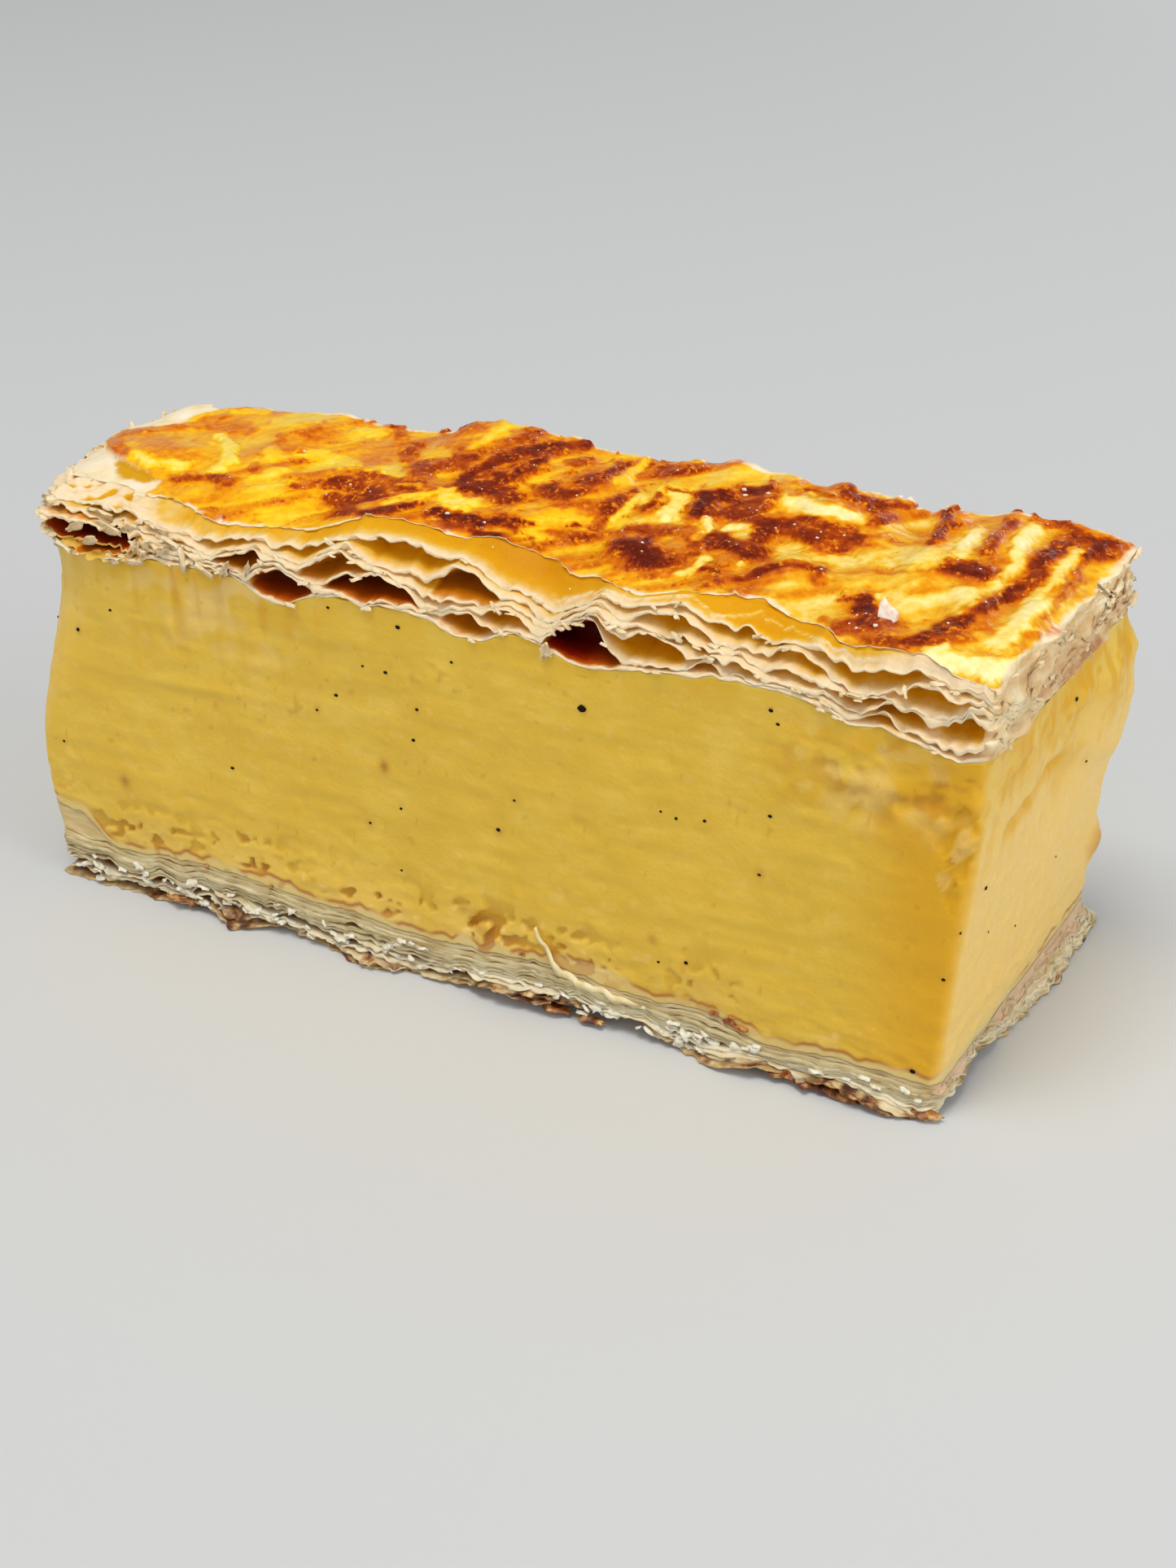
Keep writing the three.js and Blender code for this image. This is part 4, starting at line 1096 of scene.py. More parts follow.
# The right cut, as y and z: a soft slanted step, the dome at the back, a crease, painted shade in a
# dent, and caramel under the upper sheet.
FOLD = {"height": 0.3, "edge": (-8, 34), "across": (0.77, 0.64), "middle": (-7, 33), "half": 5}
DOME = {"height": 0.8, "edge": (-0.4, 33.7), "slope": 0.49, "tall": 9, "behind": (-4, 1)}
FLAP = [(3.1, 31.2), (-11.3, 30.2)]
DENT_SHADE = {"at": (4, 29.5), "radius": 2.2, "strength": 0.45}
CARAMEL = {"depth": 5, "behind": (-18, -9)}
BACK_LUMP = {"at": (59.5, 19.2, 12), "radius": 1.5, "rise": 1.0}  # a crumb of crust on the back right edge

# Chips out of the front right edge, and pale crumbs left standing there: x, z, radius in mm, depth.
CHIPS = [
    [57.6, 34.8, 1.3, 0.45], [56.5, 32.6, 0.9, 0.35], [57.8, 30, 1.5, 0.5], [55.4, 37.3, 1, 0.3],
    [57.4, 26.6, 0.9, 0.3], [58.4, 33, 0.8, -0.3], [57.6, 31.2, 0.6, -0.3], [56.6, 28.6, 0.7, -0.2],
    [56.2, 34.9, 0.8, -0.2],
]

# Stains in the front of the custard: x, z, radius in mm, strength.
STAINS = [
    [-9.3, 26, 0.62, 0.95], [-47.5, 15.5, 0.75, 0.75], [36.8, 24.3, 0.5, 0.4], [24.2, 13, 0.6, 0.5],
    [7.8, 26, 0.5, 0.25], [-52, 34.3, 0.5, 0.3], [-17.7, 31.4, 0.5, 0.3], [5.5, 21.5, 0.5, 0.35],
    [28, 11, 0.5, 0.3], [-12, 18, 0.6, 0.3], [-4.2, 34.2, 0.5, 0.25], [0, 10.5, 0.7, 0.4], [2, 9, 1.1, 0.5],
    [11.5, 7.6, 1.3, 0.6],
]


def broken(x, above, facing):
    """How far the custard is broken by the lower seam of the front cut, from 0 to 1."""
    parts = [depth * bell(x - middle, half_width) for middle, half_width, depth in BROKEN]
    return np.maximum.reduce(parts) * bell(above - 1.5, BROKEN_HEIGHT) * facing


def pits(x, y, z):
    """Ragged pits of about 2 mm, from 0 to 1."""
    return smooth(0.12, 0.32, tilted_waves(x, y, z, 1.8, 103) + 0.35 * waves(x, y, z, (0.9, 0.8), 106))


def smeared(x, z):
    return bell((x - SMEARED["x"]) / SMEARED["half"], 1) * bell((z - SMEARED["z"]) / SMEARED["tall"], 1)


def chips(x, z, sign):
    """Depth of the chips (sign 1), or height of the crumbs (sign -1), in mm."""
    wander = 0.55 * noise(x / 1.1, z / 1.5, 0, 131) + 0.4 * noise(x / 0.5, z / 0.6, 0, 136)
    deepest = np.zeros_like(x)
    for at_x, at_z, radius, depth in CHIPS:
        distance = np.hypot(x - at_x, 0.6 * (z - at_z)) / radius + wander
        deepest = np.maximum(deepest, sign * depth * smooth(1.2, 0.6, distance))
    return deepest


def folds(y, z):
    """Folds of the right cut: a soft slanted step, and the dome at the back that overhangs the rest."""
    (edge_y, edge_z), (across_y, across_z) = FOLD["edge"], FOLD["across"]
    middle_y, middle_z = FOLD["middle"]
    slant = (y - edge_y) * across_y + (z - edge_z) * across_z
    step = FOLD["height"] * smooth(-0.6, 0.6, slant)
    step = step * bell(z - middle_z, FOLD["half"]) * bell(y - middle_y, FOLD["half"])
    edge_y, edge_z = DOME["edge"]
    rise = z - edge_z + DOME["slope"] * (y - edge_y)
    dome = DOME["height"] * smooth(-2.5, 1.0, rise) * bell(np.maximum(rise, 0), DOME["tall"])
    return step + dome * smooth(*DOME["behind"], y) - 0.6 * bell(line_distance(y, z, *FLAP), 0.8)


def back_lump(x, y, z):
    at_x, at_y, at_z = BACK_LUMP["at"]
    return bell(np.sqrt((x - at_x) ** 2 + (y - at_y) ** 2 + 0.4 * (z - at_z) ** 2), BACK_LUMP["radius"])


def front_relief(x, y, z, above):
    """Relief of the custard's front cut: drips at the upper left, a ridge that the knife left, the
    smeared patch, and pits by the lower seam."""
    drips = DRIPS["height"] * waves(x, y, z, (1.3, 9), 104) * smooth(*DRIPS["rise"], z)
    drips *= hump(DRIPS, x)
    ridge = bell(z - KNIFE_RIDGE["z"] - KNIFE_RIDGE["slope"] * x, KNIFE_RIDGE["thick"])
    ridge = KNIFE_RIDGE["height"] * ridge * hump(KNIFE_RIDGE, x)
    mess = 0.5 * waves(x, y, z, (2.6, 1.7), 108, 2) * smeared(x, z)
    return drips + ridge + mess - 1.1 * broken(x, above, 1) * pits(x, y, z)


def custard_reach(place, z, height, above, below):
    """How far the custard's wall stands out, in mm: the relief of the solid and what the knife drew."""
    x, y, front, right = place["x"], place["y"], place["front"], place["right"]
    reach = SMEAR["height"] * waves(x, y, z, SMEAR["size"], SMEAR["seed"])
    for dent_x, dent_y, dent_z, radius, rise in DENTS:
        distance = np.sqrt((x - dent_x) ** 2 + (y - dent_y) ** 2 + (z - dent_z) ** 2)
        reach += rise * bell(distance, radius)
    drag = 0.08 * waves(x, y, z, (9, 1.4), 101) + 0.04 * waves(x, y, z, (4, 0.7), 102)
    dimples = -0.12 * smooth(0.55, 0.8, waves(x, y, z, (1.9, 1.2), 107))
    lumps = 0.45 * waves(x, y, z, (2.2, 1.4), 105, 3) * bell(above, 3.5) * smooth(0, 0.5, above)
    wrinkles = 0.6 * waves(x, y, z, (2.2, 3.2), 109, 3) * bell(below, 7) * right
    wrinkles += 0.12 * waves(x, y, z, (1.5, 1.3), 139, 2) * np.maximum(right, 0.35)
    reach = reach + drag + dimples + lumps + wrinkles
    reach = reach + front * front_relief(x, y, z, above) + right * folds(y, z)
    reach += (chips(x, z, -1) - chips(x, z, 1)) * (front > 0.3)
    reach += BACK_LUMP["rise"] * back_lump(x, y, z)
    return reach * smooth(0, SMOOTH_RIM, height) * smooth(1, 1 - SMOOTH_RIM, height)


# The wavy ochre line over the lower seam, and where it rises.
SEAM_LINE = {"height": 0.7, "wander": 0.9, "thick": 0.28}
SEAM_BULGE = {"height": 0.8, "middle": 16, "half": 5}


def seam_tints(x, y, z, above, below, front, right, edge):
    """Tints along the two seams: beige crumbs with a wavy ochre line over the lower one, and a richer
    rim under the upper one."""
    mixed = smooth(-0.2, 0.6, waves(x, y, z, (4, 2), 115))
    wander = waves(x, y, 0, 3.2, 116) + 0.4 * waves(x, y, 0, 1.2, 125)
    bulge = SEAM_BULGE["height"] * hump(SEAM_BULGE, x) * front
    wander = SEAM_LINE["height"] + SEAM_LINE["wander"] * np.abs(wander) + bulge
    line = bell(above - wander, SEAM_LINE["thick"]) * smooth(-0.5, 0.1, waves(x, y, 0, 2.5, 117))
    line *= mix(1, smooth(-4, 6, y), right)
    beige = 0.5 * bell(above, 1.8) * mixed * (1 - 0.5 * edge)
    beige += 0.75 * smooth(wander + 0.3, wander - 0.1, above)
    rim = 0.4 * bell(below, 1.6) * smooth(-0.2, 0.5, waves(x, y, 0, 3, 114))
    return beige + 0.4 * bell(above, 3) * right, 0.9 * line, rim


def right_tints(y, z, below):
    """How rich the custard is on the right cut: caramel under the upper sheet, and painted shade in the dent
    and under the flap's crease.
    """
    wavy = smooth(-0.6, 0.3, noise(y / 3, z / 3, 0, 113))
    mottle = noise(y / 1.1, z / 3.0, 0, 127) + 0.6 * noise(y / 0.6, z / 1.0, 0, 149)
    mottle = smooth(-0.05, 0.5, mottle) * bell(below, 11)
    caramel = bell(below, CARAMEL["depth"]) * smooth(*CARAMEL["behind"], y) * wavy + 0.9 * mottle
    dent_y, dent_z = DENT_SHADE["at"]
    dent = DENT_SHADE["strength"] * bell(np.hypot(y - dent_y, (z - dent_z) * 0.8), DENT_SHADE["radius"])
    # Painted shade: darker in the dent, and a richer band just under the flap's crease.
    return 0.85 * caramel + dent + 0.55 * bell(line_distance(y, z + 0.4, *FLAP), 1.1)


def custard_tints(place, z, above, below):
    """Where the custard is paler, richer, beige with crumbs, or stained ochre. The paler tint is real flecks
    and lumps, and painted light over the right cut; the richer and ochre tints in the pits and chips are
    partly painted shade.
    """
    x, y, front, right = place["x"], place["y"], place["front"], place["right"]
    patch = smeared(x, z) * front
    edge = RICH_EDGE["strength"] * fade(RICH_EDGE, x) * (1 - 0.2 * patch)
    beige, line, rim = seam_tints(x, y, z, above, below, front, right, edge)
    smeary = bell(below, SMEARY["depth"]) * hump(SMEARY, x) * front
    cloudy = 0.9 * smooth(-0.1, 0.6, tilted_waves(x, y, z, 2.6, 126)) * smeary
    drawn = smeary * smooth(0.1, 0.6, waves(x, y, z, (1.1, 7), 128))
    lumps = smooth(-0.05, 0.5, tilted_waves(x, y, z, 2.0, 119)) * np.minimum(1, 1.6 * patch)
    lumps = np.maximum(0.6 * lumps, chips(x, z, -1) * 3 * front)
    pit, torn = pits(x, y, z), broken(x, above, front)

    flecks = smooth(0.62, 0.8, waves(x, y, z, (1.3, 0.9), 111)) * (0.25 + 0.6 * bell(above, 6))
    # Painted light: the whole right cut is lighter, as if lit from that side; on the front only the pale
    # flecks count
    fresh = right * (1 - 0.75 * bell(below, 9)) + flecks * front
    fresh = fresh + 0.5 * lumps + 0.35 * torn * (1 - pit) + 0.5 * cloudy
    blotch = smooth(-0.5, 0.4, tilted_waves(x, y, z, 3.0, 112)) * patch * (1 - lumps)
    rich = front * np.maximum(edge, blotch) + right * right_tints(y, z, below)
    # Richer colour in the pits by the lower seam and in the chips: partly their own colour, partly painted
    # shade.
    rich = rich + 0.5 * torn * pit + 1.8 * chips(x, z, 1) * front
    rich = rich + 0.6 * drawn + 0.5 * smeary * bell(below, 2.5)
    smudge = 0.3 * smooth(0.7, 0.9, waves(x, y, z, (0.9, 0.8), 118)) * front
    olive = 0.6 * patch * smooth(-0.1, 0.6, tilted_waves(x, y, z, 1.7, 120)) * (1 - lumps) + 0.14 * drawn
    spots = [strength * front * bell(np.hypot(x - stain_x, (z - stain_z) * 0.85), radius)
             for stain_x, stain_z, radius, strength in STAINS]
    # The ochre deepest in the pits is painted shade.
    ochre = np.maximum.reduce([line, smudge, olive, 0.6 * torn * pit, 0.7 * back_lump(x, y, z), *spots])
    tints = {"fresh": fresh, "rich": np.maximum(rich, rim), "ochre": ochre,
             "beige": beige + 0.5 * lumps + 0.6 * cloudy}
    return {name: np.clip(values, 0, 1) for name, values in tints.items()}


CUSTARD_ROWS = 120
ROW_CROWDING = 0.1  # draws the rows of the custard's wall towards its two seams


def make_custard():
    block = Block(columns=400, rows=104, top_step=8, bottom_step=8)
    bottom = block.surface(lambda x, y, inward: lower_seam(x, y) + SEAM_GAP / 2, rough_height=5)
    top = block.surface(lambda x, y, inward: upper_seam(x, y) - SEAM_GAP / 2, rough_height=44)
    height = np.linspace(0, 1, CUSTARD_ROWS)[None, :]
    height = height - ROW_CROWDING * np.sin(2 * math.pi * height)
    low, high = block.edge(bottom[2])[:, None], block.edge(top[2])[:, None]
    z = mix(low, high, height)
    place = block.edge_place(z)
    wall = wall_points(place, custard_reach(place, z, height, z - low, high - z), z)
    tints = {name: (0, 0, values) for name, values in custard_tints(place, z, z - low, high - z).items()}
    stand_in("custard_block", "custard", block, (bottom, top), wall, tints, [custard_material()])
    return wall, place


RIGHT_DROOP = 0.9  # mm that the overhang at the right end is crumbled down by
OVERHANG_BEHIND = (-12, 8)  # places along the right cut between which its overhang grows
MORE_BAKED = (-30, -10)  # places along the slice between which the underside gets browner
FOLD_BEFORE = -40  # the thick left end of the sheet shows as one fold


def rim_reach(place, height):
    """How far the lower sheet stands out of the cut, and where that is its browned underside."""
    x, y, right = place["x"], place["y"], place["right"]
    patch = fade(FLAKE, waves(x, y, 0, FLAKE["size"], FLAKE["seed"]))
    front = np.maximum.reduce([bell(x - middle, half_width) for middle, half_width in FRONT_FLAKES])
    patch = np.where(place["out_y"] < 0, front, patch)
    reach = FLAKE["reach"] * patch * smooth(FLAKE["below"], 0, height)
    reach += OVERHANG["front"] * place["front"] * smooth(1, OVERHANG["below"], height)
    rightward = OVERHANG["right"] * right * mix(0.1, 1.2, smooth(*OVERHANG_BEHIND, y))
    crumb = 0.7 * waves(x, y, height * 5, (1.5, 1), 45, 4)
    reach = reach + rightward * smooth(1, 0.35, height) + crumb * right * smooth(1, 0.85, height)
    baked = patch * smooth(0.3, 0.12, height) * mix(0.6, 1, smooth(*MORE_BAKED, x))
    scorched = smooth(0.1, 0.6, waves(x, y, 0, 5, 133))
    baked = smooth(0.1, 0.5, baked + 0.6 * smooth(0.12, 0.03, height) * scorched)
    return reach, baked * smooth(-0.35, 0.15, waves(x, y, height * 12, (1.4, 1), 46))


def make_bottom_pastry():
    block = Block(columns=420, rows=120, top_step=10, bottom_step=5)
    bottom = block.surface(underside, rough_height=0)
    top = block.surface(lambda x, y, inward: lower_seam(x, y) - SEAM_GAP / 2, rough_height=5)
    head = block.edge(top[2])
    spot = edge_spot(block, top, head)
    height, reach, _, inset, _ = leaf_stack(spot, block.edge(bottom[2]), head, LOWER_SHEET, [])
    share = np.linspace(0, 1, height.shape[1])[None, :]
    place = block.edge_place(height)
    x, y, right = place["x"], place["y"], place["right"]
    rim, baked = rim_reach(place, share)
    worn = right * smooth(1, 0.9, share) * share
    worn *= 0.6 + waves(y, 0, 0, 1.6, 123) + 0.6 * waves(y, 0, 0, 0.7, 124)
    height = height - RIGHT_DROOP * worn
    wall = wall_points(place, (reach + rim) * smooth(1, 0.97, share), height)
    foot, head = height[:, :1], height[:, -1:]
    wander = 0.2 + 0.6 * np.maximum(0, waves(x, y, 0, 3.5, 121))
    ochre = smooth(wander, 0, head - height) * smooth(-0.2, 0.4, waves(x, y, 0, 2, 122))
    fold = smooth(THICK_FROM - 1.5, THICK_FROM + 1, height) * (x < FOLD_BEFORE)
    tints = {
        "level": (0, 1, (height - foot) / np.minimum(head - foot, THICK_FROM)),
        "inset": (0, 1, inset),
        "blush": (0, 0, 0.7 * right * smooth(0.55, 0.95, share)),
        "ochre": (0, 0, 0.8 * ochre),
        "baked": (1, 0, baked),
        "fold": (0, 0, fold),
    }
    stand_in("bottom_pastry_leaves", "bottom_pastry", block, (bottom, top), wall, tints,
             [lower_leaf_material()])


# Loose pieces: flakes, crumbs, specks and crystals

FLAKE_GRID = (6, 4)  # cells along and across one flake


def unit(vectors):
    return vectors / np.linalg.norm(vectors, axis=1, keepdims=True)


def sheets(centre, along_axis, across_axis, half_length, half_width, thickness, curl, seed):
    """Thin curled flakes with ragged outlines: points and faces. The first three are arrays of flakes
    by x, y, z, the others one value for each flake or for all."""
    count = len(centre)
    s, t = np.meshgrid(*(np.linspace(-1, 1, cells + 1) for cells in FLAKE_GRID), indexing="ij")
    index = np.arange(s.size).reshape(s.shape)
    s, t = s.reshape(-1), t.reshape(-1)
    own = np.arange(count)[:, None]
    sizes = (half_length, half_width, thickness, curl)
    half_length, half_width, thickness, curl = (np.broadcast_to(size, count)[:, None] for size in sizes)
    waist = (1 - 0.55 * s**2) * (1 + 0.35 * noise(s * 2, own, 0, seed))
    u = (s + 0.18 * noise(s * 2, t * 2, own, seed + 1)) * half_length
    v = (t + 0.25 * noise(s * 3, t, own, seed + 2)) * waist * half_width
    lift = curl * (t**2 + 0.5 * s) + 0.5 * curl * noise(s * 2, t * 2, own, seed + 3)
    edge = np.maximum(np.abs(s), np.abs(t)) > 0.99
    half_thick = np.where(edge, 0.25, 1.0) * thickness / 2
    along_axis = unit(along_axis)
    normal = unit(np.cross(along_axis, across_axis))
    across_axis = np.cross(normal, along_axis)
    flat = centre[:, None] + u[..., None] * along_axis[:, None] + v[..., None] * across_axis[:, None]
    points = [flat + (lift + side * half_thick)[..., None] * normal[:, None] for side in (1, -1)]

    quads = [index[:-1, :-1], index[1:, :-1], index[1:, 1:], index[:-1, 1:]]
    top = np.stack([part.reshape(-1) for part in quads], 1)
    ring = np.concatenate([index[:-1, 0], index[-1, :-1], index[:0:-1, -1], index[0, :0:-1]])
    following = np.roll(ring, -1)
    rim = np.stack([ring + s.size, following + s.size, following, ring], 1)
    faces = np.concatenate([top, top[:, ::-1] + s.size, rim])
    faces = faces[None] + (np.arange(count) * 2 * s.size)[:, None, None]
    return np.concatenate(points, 1).reshape(-1, 3), faces.reshape(-1, 4).tolist()


def grains(centre, sizes, seed, subdivisions=2, rough=0.25):
    """Irregular rounded grains: points and faces. sizes is an array of grains by x, y, z half sizes."""
    form = bmesh.new()
    bmesh.ops.create_icosphere(form, subdivisions=subdivisions, radius=1.0)
    ball = np.array([vertex.co[:] for vertex in form.verts])
    triangles = np.array([[vertex.index for vertex in face.verts] for face in form.faces])
    form.free()
    own = np.arange(len(centre))[:, None]
    bumps = 1 + rough * noise(ball[:, 0] * 1.5 + 9 * own, ball[:, 1] * 1.5, ball[:, 2] * 1.5, seed)
    points = centre[:, None] + ball[None] * sizes[:, None] * bumps[..., None]
    faces = triangles[None] + (own * len(ball))[..., None]
    return points.reshape(-1, 3), faces.reshape(-1, 3).tolist()


def joined(points, faces, more_points, more_faces):
    """Two sets of points and faces as one."""
    shifted = [[corner + len(points) for corner in face] for face in more_faces]
    return np.concatenate([points, more_points]), faces + shifted


def nearest_on_wall(wall, place, side, across, z):
    """Point of a wall and the way out of it, at a place on one of its four cuts."""
    facing = {"front": place["out_y"] < -0.7, "back": place["out_y"] > 0.7,
              "right": place["out_x"] > 0.7, "left": place["out_x"] < -0.7}[side]
    axis = 0 if side in ("front", "back") else 1
    distance = np.hypot(wall[..., axis] - across, wall[..., 2] - z) + 1e3 * ~facing
    at = np.unravel_index(np.argmin(distance), distance.shape)
    return wall[at], np.array([place["out_x"][at], place["out_y"][at], 0.0])


# Vanilla specks on the front cut: x, z and half size in mm. Then on the right cut: y, z and half size.
FRONT_SPECKS = [
    [-52, 34.3, 0.3], [-46, 38, 0.22], [-56.5, 19, 0.2], [-31, 20.8, 0.25], [-15, 33.7, 0.25],
    [-17.7, 31.4, 0.18], [-15, 44.2, 0.2], [-5.8, 43.6, 0.3], [-8, 37.9, 0.25], [-11, 38, 0.18],
    [-4.2, 34.2, 0.22], [-5, 30.4, 0.25], [-8, 13, 0.18], [-12, 18, 0.2], [-7.5, 21.3, 0.2],
    [0.6, 40.8, 0.2], [16.5, 38.8, 0.55], [5.5, 21.5, 0.28], [7.8, 26, 0.18], [38, 43, 0.25],
    [38.6, 41.7, 0.22], [30.5, 28.7, 0.22], [27.2, 28.3, 0.2], [25.5, 29, 0.16], [38, 31.2, 0.26],
    [36.8, 24.3, 0.2], [28, 11, 0.28], [24.7, 10.2, 0.18], [57, 17.3, 0.24], [54, 5.2, 0.32],
]
RIGHT_SPECKS = [
    [-15.3, 26.2, 0.26], [-19.8, 22.7, 0.2], [9.5, 27.6, 0.22], [3, 38.5, 0.3], [-4, 14, 0.16],
    [-12, 18.5, 0.16], [6, 17, 0.15],
]
# Specks on a cut that doesn't show: how many, and the spans of their places, heights and half sizes.
UNSEEN_SPECKS = [("back", 26, (-57, 57), (10, 42), (0.15, 0.32)),
                 ("left", 8, (-14, 14), (12, 41), (0.15, 0.3))]


def make_specks(wall, place):
    """The specks that show, and others drawn at random on the unseen cuts."""
    draw = np.random.default_rng(133)
    listed = [("front", *spot) for spot in FRONT_SPECKS] + [("right", *spot) for spot in RIGHT_SPECKS]
    for side, count, *ranges in UNSEEN_SPECKS:
        listed += [(side, *(draw.uniform(*span) for span in ranges)) for _ in range(count)]
    centres, sizes = [], []
    for side, across, z, size in listed:
        point, out = nearest_on_wall(wall, place, side, across, z)
        centres.append(point + 0.02 * out)
        flat = 0.4 if side in ("right", "left") else 1.0
        sizes.append([size * flat, size * (1.4 - flat), 0.8 * size])
    add_loose("vanilla_specks", "vanilla_seed", "custard", *grains(np.array(centres), np.array(sizes), 131))


# Baked bits at the lower seam of the front cut: x, z and half size.
SEAM_BITS = [
    [31.4, 5.6, 0.6], [33, 4.9, 0.8], [34.3, 4.5, 0.9], [33.4, 5.7, 0.5], [-36.4, 6.4, 0.35],
    [-27, 5.7, 0.35], [7.6, 6.3, 0.45],
]


def make_seam_bits(wall, place):
    found = [nearest_on_wall(wall, place, "front", x, z) for x, z, _ in SEAM_BITS]
    centres = np.array([point + 0.05 * out for point, out in found])
    sizes = np.array([[half, 0.3, 0.5 * half] for *_, half in SEAM_BITS])
    add_loose("baked_bits", "baked_bit", "bottom_pastry", *grains(centres, sizes, 191, rough=0.5))


# Flakes at the leaf lips, in groups: how many, their size in mm and the seed of their draws.
LIP_FLAKES = {"front": (120, 0.6, 141), "left": (130, 0.9, 142), "right": (30, 0.7, 143),
              "back": (160, 0.8, 144), "back_right": (24, 0.9, 145)}

# Torn strips of leaf at the left end of the front: x, z, half length, half width, slope in degrees.
LOBES = [
    [-41, 46.8, 1.1, 0.45, 80], [-39.8, 46.6, 1.3, 0.4, 62], [-37.6, 47, 1.2, 0.5, 40],
    [-35.8, 47.8, 1.6, 0.5, -20], [-34.2, 46.6, 1.5, 0.4, -75], [-44.8, 44.9, 1.6, 0.4, 10],
    [-41.2, 45.3, 1.4, 0.4, 14], [-31.2, 46, 1.5, 0.45, -20], [-28.4, 46.4, 1.3, 0.4, 60],
    [-48, 46.6, 1.5, 0.6, 25], [-45.5, 48, 1.8, 0.8, -10], [-42.5, 48.4, 1.6, 0.8, 15],
    [-50.5, 47.5, 1.6, 0.8, 35], [-47.5, 49, 1.7, 0.9, 0], [-38.8, 48.9, 1.6, 0.7, -8],
    [-51.5, 45.4, 1.3, 0.5, -15], [-25.4, 46.9, 1, 0.35, 70], [12.4, 44.6, 1.1, 0.5, 75],
]
LOBE_CURL = 0.45


def wall_flakes(wall, out, chosen, rows, count, size, seed):
    """Flakes that stand out of a wall's leaf lips: positions, axes and sizes for sheets()."""
    draw = np.random.default_rng(seed)
    columns = draw.choice(np.flatnonzero(chosen), count)
    row = draw.choice(rows, count)
    out, level = out[columns], np.zeros(count)
    tilt = draw.uniform(-0.7, 0.9, count)
    across = out + np.stack([level, level, tilt], 1)
    tangent = np.stack([-out[:, 1], out[:, 0], level], 1) + 0.35 * draw.normal(size=(count, 3))
    length = size * draw.uniform(0.5, 1.3, count)
    width = length * draw.uniform(0.35, 0.6, count)
    return wall[columns, row] + out * (0.35 * width)[:, None], tangent, across, length, width


def torn_strips():
    """Axes and sizes of the torn strips for sheets(). They lie against the front of the leaves."""
    x, z, length, width, slope = np.array(LOBES).T
    slope = np.radians(slope)
    level = np.zeros_like(x)
    step = along(CRUST_STEP, x) * smooth(45.5, 51, z)
    centre = np.stack([x, front_at(x, z) + 0.5 * step - 0.25, z], 1)
    tangent = np.stack([np.cos(slope), level, np.sin(slope)], 1)
    across = np.stack([-np.sin(slope), level - 0.5, np.cos(slope)], 1)
    return centre, tangent, across, length, width


def make_leaf_flakes(wall, spot):
    rows_a_leaf = len(LIP_PROFILE) + len(FLOOR_SHARES) + len(CEILING_SHARES)
    lips = np.arange(len(UPPER_SHEET["leaf"])) * rows_a_leaf + 1
    lips[-1] += len(SHELF_SHARES) - len(FLOOR_SHARES)
    out_x, out_y = spot["out_x"], spot["out_y"]
    out = np.stack([out_x, out_y, np.zeros_like(out_x)], 1)
    chosen = {"front": ((out_y < -0.5) & (out_x < 0.5), lips[:6]), "left": (out_x < -0.3, lips[1:]),
              "right": (out_x > 0.7, lips), "back": (out_y > 0.5, lips[:6]),
              "back_right": ((out_x > 0.2) & (spot["y"] > 9), lips[2:])}
    groups = [wall_flakes(wall, out, *chosen[side], *group) for side, group in LIP_FLAKES.items()]
    axes = [np.concatenate(parts) for parts in zip(*groups)]
    flakes = sheets(*axes, 0.1, 0.28 * axes[3], 151)
    strips = sheets(*torn_strips(), 0.16, LOBE_CURL, 152)
    add_loose("leaf_flakes", "leaf_flake", "top_pastry", *joined(*flakes, *strips))


# Browned flakes under the front edge and at the front right corner: x, out from the front cut, z,
# half length, half width, turn about the flake's length.
BROWN_FLAKES = [
    [-41, 0.5, 1.4, 1.8, 0.9, 0.3], [-39, 0.4, 1.2, 1.2, 0.8, -0.2], [-31.5, 0.1, 0.9, 1.3, 0.6, 0.1],
    [-18.5, 0, 0.8, 1.2, 0.5, -0.3], [8, 0.3, 1.4, 2.2, 0.9, 0.3], [12, 0.4, 1, 1.8, 0.9, 0.1],
    [16.5, 0.7, 0.9, 1.6, 0.9, 0.2], [31, 0, 1.2, 1.6, 0.8, 0.5], [35, 0.2, 1.3, 2, 0.9, 0.4],
    [38.5, 0.4, 1.1, 2.2, 1, 0.2], [42.5, 0.7, 1, 2.6, 1.1, 0.1], [46, 0.8, 0.7, 2.8, 1.1, 0],
    [49.5, 0.6, 0.9, 2, 1, 0.3], [53, 0.4, 0.7, 1.8, 0.9, 0.3], [56, 0.3, 0.9, 1.6, 0.9, 0.1],
]


def make_brown_flakes():
    x, out, z, length, width, turn = np.array(BROWN_FLAKES).T
    level = np.zeros_like(x)
    centre = np.stack([x, front_at(x, z) - out, z], 1)
    tangent = np.stack([level + 1, level, 0.06 * np.sin(5 * x)], 1)
    across = np.stack([level, level - 1, turn], 1)
    flakes = sheets(centre, tangent, across, length, width, 0.22, 0.3, 161)
    add_loose("browned_flakes", "browned_flake", "bottom_pastry", *flakes)


# Crumbs where the leaves break out most, all along, and at a second place: where and how many.
PILE = (28, 2.4, 34)
STREWN = (-58, 57, 90)
FEW = (-30, 4, 16)


